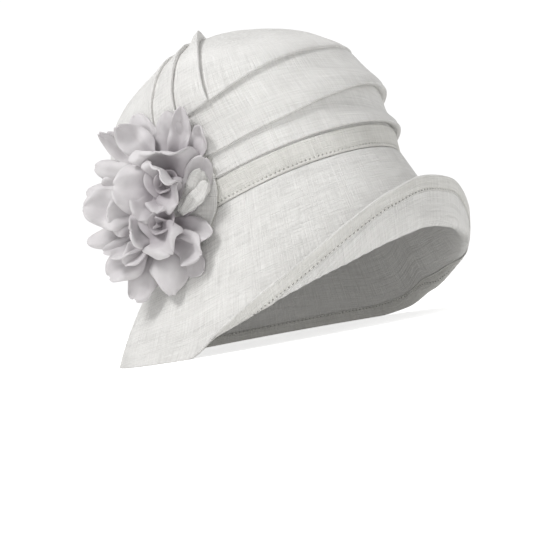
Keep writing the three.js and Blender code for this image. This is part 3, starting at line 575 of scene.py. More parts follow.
# Where something sets in, and over how much it grows: the curl, the tip's fold and the petal's
# unevenness along it, and the rolled sides across it.
CURL_FROM, CURL_OVER, TIP_FROM, TIP_OVER, GROWN_OVER = 0.5, 0.5, 0.78, 0.22, 0.35
ROLL_FROM, ROLL_OVER = 0.6, 0.4
# Shares of a petal's own width there, or of its half width for the crease and the sways.
CUP_DEPTH, ROLL_DEPTH, TWIST, SCALLOP, TIP_PINCH = 1.15, 0.36, 0.5, 0.07, 0.3
CREASE, CREASE_WIDTH, SWAY_LONG, SWAY_TIP, SWAY_SIDE = 0.08, 0.2, 0.1, 0.03, 0.12
# Ruffles: size, waves from foot to tip, slant, share of the phase, how near the edge they keep.
RUFFLE_ROWS = ((0.24, 8.5, 2.0, 1, 3), (0.1, 15.0, -3.0, 2, 4))
PHASE_STEP, CRUMPLE_SIZE, CRUMPLE_DEPTH = 2.4, 11.0, 2.0
# How a tip narrows, bluntly or with its point, and how far it drops, evenly or by its phase.
TIP_BLUNT, TIP_POINT, TIP_DROP, TIP_SWING = 0.22, 0.38, 0.1, 0.2
# A heart's strip, wide and low at its outer end, tight and high at the inner one: shares of the
# heart's radius and height, then its foot, its flare, its waves and its lobes.
HEART_WIDE, HEART_TIGHT, HEART_LOW, HEART_HIGH = 1.75, 0.34, 0.62, 1.1
HEART_FOOT, HEART_FLARE, HEART_WAVE, HEART_LOBE = 0.42, 0.3, 0.13, 0.26

FLOWER_ALONG, FLOWER_UP, FLOWER_OUT = turned_axes(FLOWER_FACING, FLOWER_RISE, -FLOWER_LEAN)
FLOWER_MIDDLE = LEAN @ skin_point(FLOWER_BEARING, step_at(FLOWER_LEVEL)) + FLOWER_OUT * FLOWER_STAND


def in_flower(along, up, out):
    place = FLOWER_ALONG * along + FLOWER_UP * up + FLOWER_OUT * out
    return FLOWER_MIDDLE + place * FLOWER_REACH


def petal_width(step, point):
    if step < FOOT_PART:
        return mix(FOOT_WIDTH, 1.0, math.sin(step / FOOT_PART * math.pi / 2))
    beyond = (step - FOOT_PART) / TIP_PART
    return max(TIP_WIDTH, (1 - beyond * beyond) ** (TIP_BLUNT + TIP_POINT * point))


def petal_sheet(row, index):
    """A function giving the middle of a petal's cloth at a step up it and a share across."""
    _, foot, tip, width, arch, cup, point, curl, turn, roll = row
    foot, tip = in_flower(*foot), in_flower(*tip)
    long = (tip - foot).length
    ahead = (tip - foot).normalized()
    face = (FLOWER_OUT - ahead * FLOWER_OUT.dot(ahead)).normalized()
    face.rotate(Quaternion(ahead, math.radians(turn)))
    side = ahead.cross(face)
    half = width * FLOWER_REACH / 2
    phase = index * PHASE_STEP
    twist = TWIST * math.sin(phase * 1.7)
    tip_drop = (TIP_DROP + TIP_SWING * math.sin(phase + 1.0)) * half

    def spot(step, across):
        edge, grown = abs(across), ease(step / GROWN_OVER)
        curled = clamp01((step - CURL_FROM) / CURL_OVER)
        folded = clamp01((step - TIP_FROM) / TIP_OVER)
        bow = math.sin(math.pi * step)
        bend = (arch - PETAL_HOLLOW) * bow + curl * curled ** 2
        scallop = SCALLOP * math.sin(10.0 * step + 2 * phase + 1.6 * across) * edge * grown
        wide = half * petal_width(step, point) * (1 + scallop)
        lift = cup * CUP_DEPTH * wide * across * across + twist * wide * across * step
        lift -= (roll + ROLL_DEPTH) * wide * clamp01((edge - ROLL_FROM) / ROLL_OVER) ** 2 * grown
        for size, waves, slant, turns, keep in RUFFLE_ROWS:
            wave = math.sin(waves * step + slant * across + turns * phase)
            lift += size * wide * wave * edge ** keep * grown
        lift -= CREASE * half * math.exp(-(across / CREASE_WIDTH) ** 2) * bow
        lift += (TIP_PINCH * edge * wide - tip_drop) * folded * folded
        sway = SWAY_LONG * math.sin(5.0 * step + phase) * edge
        sway = half * (sway + SWAY_TIP * math.sin(9.0 * across + phase) * folded)
        place = foot + ahead * (long * step + sway)
        crumple = noise.noise(place / CRUMPLE_SIZE + Vector((index, 0, 0))) * CRUMPLE_DEPTH * grown
        place += face * (long * bend + lift + crumple) + side * (across * wide)
        return place + side * (SWAY_SIDE * half * math.sin(2.6 * step + phase) * step)

    return spot


def heart_sheet(row):
    """A function giving the middle of a heart's strip at a share along it and a level up it."""
    _, along, up, out, radius, tall, turns = row

    def spot(share, level):
        turn = share * (turns + 1.0) * 2 * math.pi + 2.4
        flare = mix(HEART_FOOT, 1.0, level) + HEART_FLARE * (1 - 0.6 * share) * level ** 4
        wavy = 1 + HEART_WAVE * math.sin(2.6 * turn + 1.0) * level
        wound = mix(HEART_WIDE, HEART_TIGHT, share ** 0.8)
        away = radius * FLOWER_REACH * wound * flare * wavy
        lobe = 1 - HEART_LOBE + HEART_LOBE * math.sin(2.3 * turn + 0.6)
        rim = tall * level * lobe * mix(HEART_LOW, HEART_HIGH, share)
        middle = in_flower(along, up, out + rim)
        return middle + FLOWER_ALONG * math.cos(turn) * away + FLOWER_UP * math.sin(turn) * away

    return spot


# ---------------------------------------------------------------- making pieces
def run_in_edit(*steps):
    bpy.ops.object.mode_set(mode="EDIT")
    bpy.ops.mesh.select_all(action="SELECT")
    for step in steps:
        step()
    bpy.ops.object.mode_set(mode="OBJECT")


def close_seams():
    bpy.ops.mesh.remove_doubles(threshold=1e-5)


def face_out():
    bpy.ops.mesh.normals_make_consistent(inside=False)


def grid_piece(name, columns, measure):
    """A grid shaped into columns of points in mm; measure gives each point's place on the cloth."""
    count, rows = len(columns), len(columns[0])
    bpy.ops.object.select_all(action="DESELECT")
    bpy.ops.mesh.primitive_grid_add(x_subdivisions=count - 1, y_subdivisions=rows - 1, size=2)
    piece = bpy.context.object
    piece.name = piece.data.name = name
    on_cloth = []
    for vertex in piece.data.vertices:
        i = round((vertex.co.x + 1) / 2 * (count - 1))
        j = round((vertex.co.y + 1) / 2 * (rows - 1))
        vertex.co = to_scene(columns[i][j])
        on_cloth.append(measure[i][j])
    layer = piece.data.uv_layers[0].data
    for loop in piece.data.loops:
        layer[loop.index].uv = on_cloth[loop.vertex_index]
    piece.data.update()
    return piece


def cloth_measure(columns, across):
    """(round or across, along) in mm for each point, along being the real length of its column."""
    return [[(place, far) for far in distances(line)] for place, line in zip(across, columns)]


def apply(piece, kind, **values):
    modifier = piece.modifiers.new(kind.lower(), kind)
    for key, value in values.items():
        setattr(modifier, key, value)
    bpy.context.view_layer.objects.active = piece
    bpy.ops.object.modifier_apply(modifier=modifier.name)


def thicken(piece, wall, **values):
    """Gives a sheet its wall in mm, half on each side, and rounds it once."""
    apply(piece, "SOLIDIFY", thickness=wall / 1000, offset=0.0, **values)
    apply(piece, "SUBSURF", levels=1, render_levels=1)


def smooth(piece):
    bpy.ops.object.select_all(action="DESELECT")
    piece.select_set(True)
    bpy.context.view_layer.objects.active = piece
    bpy.ops.object.shade_smooth()


def dress(piece, material, node=None):
    piece.data.materials.clear()
    piece.data.materials.append(material)
    smooth(piece)
    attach(piece, "root")
    if node:
        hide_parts(node)
    return piece


def closed_cloth(node_name, profiles, across, material, measure=None):
    """A closed wall of cloth from profiles round it; the last column meets the first."""
    profiles = profiles + [profiles[0]]
    piece = grid_piece(node_name + "_cloth", profiles, measure or cloth_measure(profiles, across))
    run_in_edit(close_seams, face_out)
    return dress(piece, material, node_name)


def sheet_piece(node_name, columns, wall, material):
    """A thin stiff sheet from columns of points along its middle."""
    middle = len(columns[0]) // 2
    across = [(line[middle] - columns[0][middle]).length for line in columns]
    piece = grid_piece(node_name + "_cloth", columns, cloth_measure(columns, across))
    thicken(piece, wall, use_even_offset=False)
    return dress(piece, material, node_name)


def thread_row(name, places, length, radius):
    """Short threads, one for each place: (point, direction, outwards) in mm."""
    bpy.ops.object.select_all(action="DESELECT")
    bpy.ops.mesh.primitive_uv_sphere_add(segments=6, ring_count=6, radius=1)
    piece = bpy.context.object
    piece.name = piece.data.name = name
    one, apart = len(piece.data.vertices), 3
    apply(
        piece, "ARRAY", count=len(places), use_relative_offset=False,
        use_constant_offset=True, constant_offset_displace=(apart, 0, 0),
    )
    for index, vertex in enumerate(piece.data.vertices):
        k = index // one
        point, ahead, out = places[k]
        local = vertex.co - Vector((apart * k, 0, 0))
        side = ahead.cross(out)
        end = math.copysign(abs(local.z) ** 0.7, local.z) * length / 2
        sag = -0.5 * radius * local.z ** 2
        place = point + ahead * end + side * local.x * radius
        vertex.co = to_scene(place + out * (local.y * radius + sag))
    piece.data.update()
    run_in_edit(face_out)
    return dress(piece, sewing_thread)


def stitch_row(name, spots):
    """Stitches at an even pitch round a closed path of (point, outwards) spots."""
    spots = spots + [spots[0]]
    far = distances([point for point, _ in spots])
    count = round(far[-1] / STITCH_PITCH)
    places, i = [], 1
    for k in range(count):
        want = far[-1] * (k + 0.5) / count
        while far[i] < want:
            i += 1
        (a, out_a), (b, out_b) = spots[i - 1], spots[i]
        share = (want - far[i - 1]) / (far[i] - far[i - 1])
        out = out_a.lerp(out_b, share).normalized()
        places.append((a.lerp(b, share), (b - a).normalized(), out))
    return thread_row(name, places, STITCH_LENGTH, STITCH_RADIUS)


# ---------------------------------------------------------------- materials
def fill(tree, made, inputs):
    """Gives a node's inputs, by name or number, a socket to follow or a value."""
    for key, value in inputs.items():
        if isinstance(value, bpy.types.NodeSocket):
            tree.links.new(value, made.inputs[key])
        else:
            made.inputs[key].default_value = value
    return made


def node(tree, kind, x, y, inputs=None, **settings):
    made = tree.nodes.new(kind)
    made.location = (x, y)
    for key, value in settings.items():
        setattr(made, key, value)
    return fill(tree, made, inputs or {})


def maths(tree, operation, x, y, *values):
    """A Math node on sockets or numbers; its result."""
    inputs = dict(enumerate(values))
    return node(tree, "ShaderNodeMath", x, y, inputs, operation=operation).outputs[0]


def split_axes(tree, vector, x, y):
    return node(tree, "ShaderNodeSeparateXYZ", x, y, {0: vector}).outputs


def ramp(tree, value, start, end, x, y, first=0.0, last=1.0):
    """Goes from first to last as the value goes from start to end."""
    ends = {"From Min": start, "From Max": end, "To Min": first, "To Max": last}
    return node(tree, "ShaderNodeMapRange", x, y, {"Value": value, **ends}).outputs[0]


def blend(tree, kind, share, a, b, x, y):
    """Goes from a to b by a share; kind is FLOAT or RGBA."""
    first, result = {"FLOAT": (2, 0), "RGBA": (6, 2)}[kind]
    inputs = {0: share, first: a, first + 1: b}
    return node(tree, "ShaderNodeMix", x, y, inputs, data_type=kind).outputs[result]


def stretched_noise(tree, vector, scale, detail, x, y):
    """Noise drawn out by a scale for each direction, in features a unit of the vector."""
    mapping = node(tree, "ShaderNodeMapping", x, y, {"Vector": vector, "Scale": scale})
    inputs = {"Vector": mapping.outputs["Vector"], "Scale": 1.0, "Detail": detail}
    return node(tree, "ShaderNodeTexNoise", x + 200, y, inputs).outputs["Fac"]


def place_group(tree, group, x, y, **inputs):
    return node(tree, "ShaderNodeGroup", x, y, inputs, node_tree=group).outputs


def new_group(name, inputs, outputs):
    """A node group, the sockets given to it, and the node that takes its results."""
    group = bpy.data.node_groups.new(name, "ShaderNodeTree")
    for label, kind, value in inputs:
        socket = group.interface.new_socket(name=label, in_out="INPUT", socket_type=kind)
        if value is not None:
            socket.default_value = value
    for label, kind in outputs:
        group.interface.new_socket(name=label, in_out="OUTPUT", socket_type=kind)
    given = node(group, "NodeGroupInput", -1400, 0).outputs
    return group, given, node(group, "NodeGroupOutput", 600, 0)


# The weave, in millimetres on the cloth: from thread to thread, how far they wander, how high
# they stand against the slubs, the slubs' features along each direction, and the tone's range.
THREAD_PITCH, THREAD_DRIFT, WEAVE_RELIEF = 0.95, 0.3, 0.45
WARP_SLUB, WEFT_SLUB, SLUB_TONES = (1.25, 0.045, 1.0), (0.04, 1.25, 1.0), (0.72, 1.28)


def linen_weave_group():
    """Plain weave with slubs. Vector is in millimetres on the cloth; gives Height and Tone."""
    group, given, result = new_group(
        "linen_weave",
        (("Vector", "NodeSocketVector", None), ("Thread", "NodeSocketFloat", THREAD_PITCH)),
        (("Height", "NodeSocketFloat"), ("Tone", "NodeSocketFloat")),
    )
    axes = split_axes(group, given["Vector"], -1200, 200)
    drift = stretched_noise(group, given["Vector"], (0.15, 0.15, 0.15), 2, -1200, -200)
    drift = maths(group, "MULTIPLY", -800, -200, drift, THREAD_DRIFT)
    waves = []
    for axis, y in (("X", 300), ("Y", 100)):
        place = maths(group, "ADD", -800, y, axes[axis], drift)
        threads = maths(group, "DIVIDE", -650, y, place, given["Thread"])
        turn = maths(group, "MULTIPLY", -500, y, threads, math.pi)
        waves.append(maths(group, "SINE", -350, y, turn))
    warp, weft = (maths(group, "ABSOLUTE", -200, y, w) for w, y in zip(waves, (300, 100)))
    over = maths(group, "MULTIPLY", -200, -50, *waves)
    over = maths(group, "MULTIPLY_ADD", -50, -50, over, 0.5, 0.5)
    threads = blend(group, "FLOAT", over, weft, warp, 100, 200)
    threads = maths(group, "MULTIPLY", 300, 200, threads, WEAVE_RELIEF)
    warp_slub = stretched_noise(group, given["Vector"], WARP_SLUB, 1, -1200, -500)
    weft_slub = stretched_noise(group, given["Vector"], WEFT_SLUB, 1, -1200, -800)
    slub = maths(group, "ADD", -700, -600, warp_slub, weft_slub)
    height = maths(group, "ADD", 450, 100, threads, slub)
    fill(group, result, {"Height": height, "Tone": ramp(group, slub, *SLUB_TONES, 300, -500)})
    return group


def cloth_colour_group():
    """Mixes a light and a shaded colour by a fine tone and by soft patches some way across."""
    group, given, result = new_group(
        "cloth_colour",
        (
            ("Vector", "NodeSocketVector", None),
            ("Tone", "NodeSocketFloat", 0.5),
            ("Light", "NodeSocketColor", (0.8, 0.8, 0.8, 1)),
            ("Shade", "NodeSocketColor", (0.7, 0.7, 0.7, 1)),
            ("Fine", "NodeSocketFloat", 0.5),
        ),
        (("Color", "NodeSocketColor"),),
    )
    patches = stretched_noise(group, given["Vector"], (22.0, 22.0, 22.0), 3, -1100, -300)
    fine = maths(group, "MULTIPLY", -500, 100, given["Tone"], given["Fine"])
    patches = maths(group, "SUBTRACT", -700, -300, patches, 0.35)
    patches = maths(group, "MULTIPLY", -500, -300, patches, 0.9)
    share = maths(group, "ADD", -300, 0, fine, patches)
    share.node.use_clamp = True
    colour = blend(group, "RGBA", share, given["Light"], given["Shade"], 0, 0)
    fill(group, result, {"Color": colour})
    return group


def needle_holes_group():
    """Round dents in a row at a distance up the cloth. Gives Mask, 1 in a hole."""
    group, given, result = new_group(
        "needle_holes",
        (
            ("Vector", "NodeSocketVector", None),
            ("Row", "NodeSocketFloat", 3.0),
            ("Pitch", "NodeSocketFloat", STITCH_PITCH),
            ("Size", "NodeSocketFloat", 0.7),
        ),
        (("Mask", "NodeSocketFloat"),),
    )
    axes = split_axes(group, given["Vector"], -1200, 0)
    along = maths(group, "DIVIDE", -1000, 100, axes["X"], given["Pitch"])
    along = maths(group, "FRACT", -850, 100, along)
    along = maths(group, "SUBTRACT", -700, 100, along, 0.5)
    along = maths(group, "MULTIPLY", -550, 100, along, given["Pitch"])
    away = maths(group, "SUBTRACT", -1000, -100, axes["Y"], given["Row"])
    squares = [maths(group, "MULTIPLY", -400, y, v, v) for v, y in ((along, 100), (away, -100))]
    far = maths(group, "SQRT", -100, 0, maths(group, "ADD", -250, 0, *squares))
    mask = ramp(group, far, 0.15, given["Size"], 200, 0, first=1.0, last=0.0)
    fill(group, result, {"Mask": mask})
    return group


LINEN_WEAVE = linen_weave_group()
CLOTH_COLOUR = cloth_colour_group()
NEEDLE_HOLES = needle_holes_group()


def new_material(name, roughness, sheen, specular):
    """A material, its tree and shader, and the coordinates that its patterns follow."""
    material = bpy.data.materials.new(name)
    material.use_nodes = True
    tree = material.node_tree
    shader = tree.nodes["Principled BSDF"]
    fill(tree, shader, {
        "Roughness": roughness, "Specular IOR Level": specular,
        "Sheen Weight": sheen, "Sheen Roughness": 0.5,
    })
    return material, tree, shader, node(tree, "ShaderNodeTexCoord", -1500, 0).outputs


def add_colour(tree, shader, place, tone, light, shade, fine):
    """Colours the cloth between light and shade, by a tone and by soft patches."""
    colour = place_group(
        tree, CLOTH_COLOUR, -250, 200, Vector=place["Object"], Tone=tone,
        Light=(*light, 1), Shade=(*shade, 1), Fine=fine,
    )
    fill(tree, shader, {"Base Color": colour[0]})


def add_bump(tree, shader, height, distance, strength):
    inputs = {"Distance": distance, "Strength": strength, "Height": height}
    bump = node(tree, "ShaderNodeBump", -200, -300, inputs)
    fill(tree, shader, {"Normal": bump.outputs["Normal"]})


# Between these heights in metres the crown's weave passes from the columns' to a flat one.
TIP_LOW, TIP_HIGH, HOLE_DEPTH = 0.205, 0.222, 3.0
# Painted shade in the roses' depths: how far from a petal's foot it reaches, in mm, and how strong
# it is.
PAINTED_FOOT_SHADE_END, PAINTED_FOOT_SHADE_START, PAINTED_FOOT_SHADE = 26.0, 4.0, 1.2
# The floor's own glow, and how much more of it the camera sees.
FLOOR_GLOW, FLOOR_SEEN = 0.15, 0.52


def linen_material(name, light, shade, whole_tip=False, holes_row=None):
    """Woven linen. whole_tip carries a flat weave over the crown's tip, where columns close up."""
    material, tree, shader, place = new_material(name, 0.88, 0.12, 0.25)
    weave = place_group(tree, LINEN_WEAVE, -900, 200, Vector=place["UV"])
    height, tone = weave["Height"], weave["Tone"]
    if whole_tip:
        in_mm = {"Vector": place["Object"], "Scale": (1000, 1000, 1000)}
        flat = node(tree, "ShaderNodeMapping", -1300, -300, in_mm).outputs["Vector"]
        tip = place_group(tree, LINEN_WEAVE, -900, -100, Vector=flat)
        up = split_axes(tree, place["Object"], -1300, -600)["Z"]
        on_tip = ramp(tree, up, TIP_LOW, TIP_HIGH, -1100, -600)
        height = blend(tree, "FLOAT", on_tip, height, tip["Height"], -650, 100)
        tone = blend(tree, "FLOAT", on_tip, tone, tip["Tone"], -650, 300)
    if holes_row is not None:
        hole_dent_and_shade = place_group(tree, NEEDLE_HOLES, -900, -500, Vector=place["UV"], Row=holes_row)
        dent = maths(tree, "MULTIPLY", -650, -400, hole_dent_and_shade["Mask"], HOLE_DEPTH)
        height = maths(tree, "SUBTRACT", -450, -200, height, dent)
        # The same mask darkens the colour in each needle hole: painted shade in the holes, besides
        # the dent.
        tone = maths(tree, "ADD", -450, 0, tone, hole_dent_and_shade["Mask"])
    add_colour(tree, shader, place, tone, light, shade, 0.5)
    add_bump(tree, shader, height, 0.0006, 1.0)
    return material


def petal_material():
    """Smooth pressed cloth with a faint grain, soft patches and painted shade towards the foot."""
    material, tree, shader, place = new_material("petal_cloth", 0.62, 0.15, 0.3)
    grain = stretched_noise(tree, place["Object"], (900.0, 900.0, 900.0), 3, -1300, -300)
    soft = stretched_noise(tree, place["Object"], (120.0, 120.0, 120.0), 2, -1300, 100)
    up = split_axes(tree, place["UV"], -1300, -600)["Y"]
    # Painted shade: the colour darkens towards each petal's foot, where the roses' depths lie in
    # shadow.
    foot = ramp(tree, up, PAINTED_FOOT_SHADE_END, PAINTED_FOOT_SHADE_START, -1100, -600)
    foot = maths(tree, "MULTIPLY", -900, -600, foot, PAINTED_FOOT_SHADE)
    tone = maths(tree, "MULTIPLY_ADD", -700, 100, soft, 0.5, foot)
    add_colour(tree, shader, place, tone, (0.74, 0.72, 0.725), (0.36, 0.33, 0.35), 0.65)
    add_bump(tree, shader, grain, 0.00008, 0.5)
    return material


def thread_material():
    """Twisted sewing thread."""
    material, tree, shader, place = new_material("sewing_thread", 0.7, 0.1, 0.3)
    twist = stretched_noise(tree, place["Object"], (2500.0, 2500.0, 900.0), 2, -1300, 0)
    add_colour(tree, shader, place, twist, (0.8, 0.79, 0.74), (0.62, 0.61, 0.56), 0.8)
    add_bump(tree, shader, twist, 0.00015, 0.6)
    return material


def floor_material():
    """A plain pale floor, lit a little from within so that it goes over into the background."""
    material, tree, shader, place = new_material("studio_floor", 0.9, 0.0, 0.1)
    mottle = stretched_noise(tree, place["Object"], (3.0, 3.0, 3.0), 2, -1300, 0)
    add_colour(tree, shader, place, mottle, (0.9, 0.9, 0.89), (0.87, 0.87, 0.86), 0.5)
    seen = node(tree, "ShaderNodeLightPath", -700, -400).outputs["Is Camera Ray"]
    glow = maths(tree, "MULTIPLY_ADD", -400, -400, seen, FLOOR_SEEN, FLOOR_GLOW)
    fill(tree, shader, {"Emission Color": (1, 1, 1, 1), "Emission Strength": glow})
    return material


LINEN_LIGHT, LINEN_SHADE = (0.87, 0.862, 0.843), (0.63, 0.62, 0.6)
HEM_LIGHT, HEM_SHADE = (0.84, 0.83, 0.8), (0.6, 0.59, 0.56)
BAND_LIGHT, BAND_SHADE = (0.84, 0.83, 0.795), (0.6, 0.59, 0.555)
crown_linen = linen_material("crown_linen", LINEN_LIGHT, LINEN_SHADE, whole_tip=True)
brim_linen = linen_material("brim_linen", LINEN_LIGHT, LINEN_SHADE)
band_linen = linen_material("band_linen", BAND_LIGHT, BAND_SHADE, holes_row=BAND_STITCH_ROW)
hem_linen = linen_material("hem_linen", HEM_LIGHT, HEM_SHADE, holes_row=HEM_STITCH_ROW)
petal_cloth = petal_material()
sewing_thread = thread_material()


# ---------------------------------------------------------------- the hat
# The cloth's mean distance from the hat's middle in mm, for its measure round; and how many
# stitches go round the band and the hem.
CROWN_ROUND, BRIM_ROUND, BAND_STITCHES, HEM_STITCHES = 95, 115, 182, 258


def cloth_round(bearings, radius):
    return [b * DEGREE * radius for b in bearings + [180.0]]


def stitches_round(bearings, count):
    return [b / 360 * STITCH_PITCH * count for b in bearings + [180.0]]


def make_crown():
    bearings = crown_columns()
    profiles = [crown_profile(b) for b in bearings]
    return closed_cloth("crown", profiles, cloth_round(bearings, CROWN_ROUND), crown_linen)


def make_band():
    bearings = all_round(BAND_COLUMNS)
    profiles = [band_profile(b) for b in bearings]
    across = stitches_round(bearings, BAND_STITCHES)
    band = closed_cloth("hat_band", profiles, across, band_linen)
    out = BAND_GAP + BAND_WALL - BAND_SINK
    spots = [band_spot(b, BAND_STITCH_ROW, out) for b in bearings]
    return band, stitch_row("band_stitches", spots)


def make_brim():
    columns = range(BRIM_COLUMNS)
    profiles = [brim_profile(c) for c in columns]
    across = cloth_round(BRIM_BEARINGS, BRIM_ROUND)
    stations = [[Vector(s) for s in brim_stations(c)] for c in [*columns, 0]]
    measure = cloth_measure(stations, across)
    return closed_cloth("brim", profiles, across, brim_linen, measure)


def make_hem():
    profiles = [hem_profile(c) for c in range(BRIM_COLUMNS)]
    across = stitches_round(BRIM_BEARINGS, HEM_STITCHES)
    hem = closed_cloth("brim_hem", profiles, across, hem_linen)
    depth = BRIM_WALL + HEM_WALL - HEM_SINK
    spots = [BRIM_SHEET.spot(c, HEM_STITCH_ROW, depth) for c in range(BRIM_COLUMNS)]
    return hem, stitch_row("hem_stitches", [(point, -normal) for point, normal in spots])


crown = make_crown()
hat_band, band_stitches = make_band()
brim = make_brim()
brim_hem, hem_stitches = make_hem()


# ---------------------------------------------------------------- the flower
PETAL_STEPS, PETAL_SHARES, SHARE_BEND = 20, 8, 1.22
HEART_STEPS, HEART_LEVELS = 90, 9
# The patch: its columns and rings, its clearance in walls, and how far it may sink in mm.
PATCH_COLUMNS, PATCH_RINGS, PATCH_CLEAR, PATCH_SINK = 96, 12, 1.1, 9.0
FRINGE_LENGTH, FRINGE_RADIUS, FRINGE_LIFT, FRINGE_SWING = 2.2, 0.17, 0.25, 0.3


def hat_under():
    """The hat's surface as one tree, for laying the flower's pieces on it."""
    points, faces = [], []
    for piece in (crown, hat_band, brim):
        start = len(points)
        points += [v.co.copy() for v in piece.data.vertices]
        faces += [[start + i for i in p.vertices] for p in piece.data.polygons]
    return BVHTree.FromPolygons(points, faces)


HAT_UNDER = hat_under()


def height_over_hat(point):
    """How far a point in mm stands over the hat, along the flower's outward direction."""
    far = 90.0
    hit = HAT_UNDER.ray_cast(to_scene(point + FLOWER_OUT * far), -FLOWER_OUT, far * 2 / 1000)
    return None if hit[0] is None else hit[3] * 1000 - far


def laid_on_hat(point, clear):
    over = height_over_hat(point)
    return point if over is None or over >= clear else point + FLOWER_OUT * (clear - over)


def make_petal(row, index, material, node_name):
    """A petal or tab, with its columns and steps closer together at the rims and the tip."""
    spot = petal_sheet(row, index)
    steps = [1 - (1 - i / PETAL_STEPS) ** 1.25 for i in range(PETAL_STEPS + 1)]
    shares = [
        math.sin(SHARE_BEND * (i / PETAL_SHARES - 1)) / math.sin(SHARE_BEND)
        for i in range(2 * PETAL_SHARES + 1)
    ]
    columns = [[laid_on_hat(spot(s, c), PETAL_WALL) for s in steps] for c in shares]
    sheet_piece(node_name, columns, PETAL_WALL, material)


def make_heart(row):
    spot = heart_sheet(row)
    levels = [(j / HEART_LEVELS) ** 0.8 for j in range(HEART_LEVELS + 1)]
    columns = [[spot(i / HEART_STEPS, level) for level in levels] for i in range(HEART_STEPS + 1)]
    sheet_piece(row[0], columns, HEART_WALL, petal_cloth)


def patch_column(turn):
    """The patch from its middle to its frayed edge at a turn, lying on the hat."""
    c, s = math.cos(turn), math.sin(turn)
    ragged = 1 + 0.012 * math.sin(17 * turn) + 0.018 * noise.noise(Vector((9 * c, 9 * s, 3)))
    clear = PATCH_WALL * PATCH_CLEAR
    line = []
    for j in range(PATCH_RINGS + 1):
        share = j / PATCH_RINGS * (ragged if j == PATCH_RINGS else 1.0)
        along, up = PATCH_ALONG + c * PATCH_WIDE * share, PATCH_UP + s * PATCH_TALL * share
        flat = in_flower(along, up, PATCH_OUT)
        over = height_over_hat(flat)
        if over is not None:
            drop = mix(0.0, over - clear, 0.5 * ease((share - 0.2) / 0.8))
            flat = flat - FLOWER_OUT * min(drop, PATCH_SINK * share)
        line.append(laid_on_hat(flat, clear))
    return line


def patch_fringe(edge):
    """Two loose threads for each column of the patch, fanning out from its edge."""
    middle = in_flower(PATCH_ALONG, PATCH_UP, PATCH_OUT)
    fringe = []
    for i, point in enumerate(edge * 2):
        away = (point - middle).normalized()
        lift = FLOWER_OUT * FRINGE_LIFT * math.sin(i * 2.1)
        swing = FLOWER_ALONG.cross(away) * FRINGE_SWING * math.sin(i * 1.3)
        away = (away + lift + swing).normalized()
        column = i % PATCH_COLUMNS
        ahead = edge[(column + 1) % PATCH_COLUMNS] - edge[column]
        start = point + ahead * (0.5 * (i // PATCH_COLUMNS))
        fringe.append((start + away * 0.5, away, FLOWER_OUT))
    return thread_row("backing_fringe", fringe, FRINGE_LENGTH, FRINGE_RADIUS)


def make_patch():
    """The oval of linen behind the flower, its weave straight across the whole of it."""
    columns = [patch_column(2 * math.pi * i / PATCH_COLUMNS) for i in range(PATCH_COLUMNS)]
    edge = [line[-1] for line in columns]
    columns.append(columns[0])
    places = [[to_scene(point) * 1000 for point in line] for line in columns]
    measure = [[(p.dot(FLOWER_ALONG), p.dot(FLOWER_UP)) for p in line] for line in places]
    piece = grid_piece("flower_backing_cloth", columns, measure)
    run_in_edit(close_seams)
    thicken(piece, PATCH_WALL)
    dress(piece, brim_linen, "flower_backing")
    return piece, patch_fringe(edge)


for row in HEART_ROWS:
    make_heart(row)
for index, row in enumerate(PETAL_ROWS):
    make_petal(row, index, petal_cloth, "petal_" + row[0])
for index, row in enumerate(TAB_ROWS):
    make_petal(row, index, brim_linen, row[0])
flower_backing, backing_fringe = make_patch()


# ---------------------------------------------------------------- the studio
# The camera's bearing, height and roll in degrees, its distance in metres, and its lens.
CAMERA_BEARING, CAMERA_RISE, CAMERA_ROLL, CAMERA_FAR = -44.8, -2.5, -10.6, 1.3
CAMERA_LENS, CAMERA_SENSOR, CAMERA_SHIFT = 114.04, 36.0, (-0.02296, -0.1131)
RIGHT, UP, BACK = turned_axes(CAMERA_BEARING, CAMERA_RISE, CAMERA_ROLL)
# The lights: toward (right, up, back) as the camera sees it, then distance and size in metres,
# and power.
LIGHT_ROWS = (
    ("key_light", (-0.9, 1.0, 0.6), 1.7, 0.5, 16.0),
    ("front_light", (0.3, 0.32, 1.0), 1.7, 0.7, 2.4),
    ("back_light", (0.4, 0.6, -1.0), 1.8, 1.2, 8.0),
)
LIGHT_AIM, WORLD_LIGHT, WORLD_SEEN, FLOOR_SIZE = 0.12, 0.5, 1.05, 60


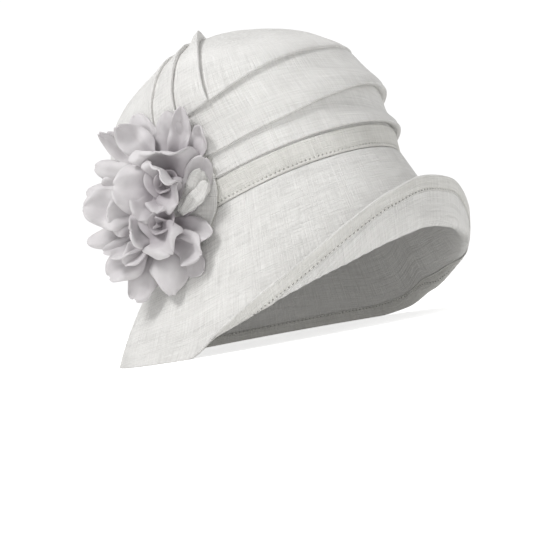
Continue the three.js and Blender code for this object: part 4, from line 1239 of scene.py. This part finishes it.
def in_scene(name, data):
    thing = bpy.data.objects.new(name, data)
    bpy.context.scene.collection.objects.link(thing)
    return thing


def make_camera():
    aim = Vector((HAT_X, HAT_Y, SEAM_HEIGHT / 1000))
    data = bpy.data.cameras.new("camera")
    data.lens, data.sensor_width = CAMERA_LENS, CAMERA_SENSOR
    data.shift_x, data.shift_y = CAMERA_SHIFT
    camera = in_scene("camera", data)
    turned = Matrix((RIGHT, UP, BACK)).transposed().to_4x4()
    camera.matrix_world = Matrix.Translation(aim + BACK * CAMERA_FAR) @ turned
    bpy.context.scene.camera = camera


def make_light(name, toward, far, size, power):
    """A soft square light that looks at the hat."""
    way = (RIGHT * toward[0] + UP * toward[1] + BACK * toward[2]).normalized()
    data = bpy.data.lights.new(name, "AREA")
    data.shape, data.size, data.energy = "SQUARE", size, power
    light = in_scene(name, data)
    light.location = Vector((HAT_X, HAT_Y, LIGHT_AIM)) + way * far
    light.rotation_euler = (-way).to_track_quat("-Z", "Y").to_euler()


def make_world():
    """Soft white light all round, and a pure white background to look at."""
    world = bpy.data.worlds.new("studio")
    bpy.context.scene.world = world
    world.use_nodes = True
    tree = world.node_tree
    tree.nodes.clear()
    glows = []
    for strength, y in ((WORLD_LIGHT, 0), (WORLD_SEEN, -200)):
        inputs = {"Strength": strength, "Color": (1, 1, 1, 1)}
        glows.append(node(tree, "ShaderNodeBackground", 0, y, inputs).outputs[0])
    seen = node(tree, "ShaderNodeLightPath", 0, 200).outputs["Is Camera Ray"]
    both = node(tree, "ShaderNodeMixShader", 200, 0, {0: seen, 1: glows[0], 2: glows[1]})
    node(tree, "ShaderNodeOutputWorld", 400, 0, {0: both.outputs[0]})


def make_floor():
    bpy.ops.object.select_all(action="DESELECT")
    bpy.ops.mesh.primitive_grid_add(x_subdivisions=8, y_subdivisions=8, size=FLOOR_SIZE)
    floor = bpy.context.object
    floor.name = "studio_floor"
    floor.data.materials.append(floor_material())


make_camera()
for row in LIGHT_ROWS:
    make_light(*row)
make_world()
make_floor()
bpy.context.scene.view_settings.view_transform = "Standard"
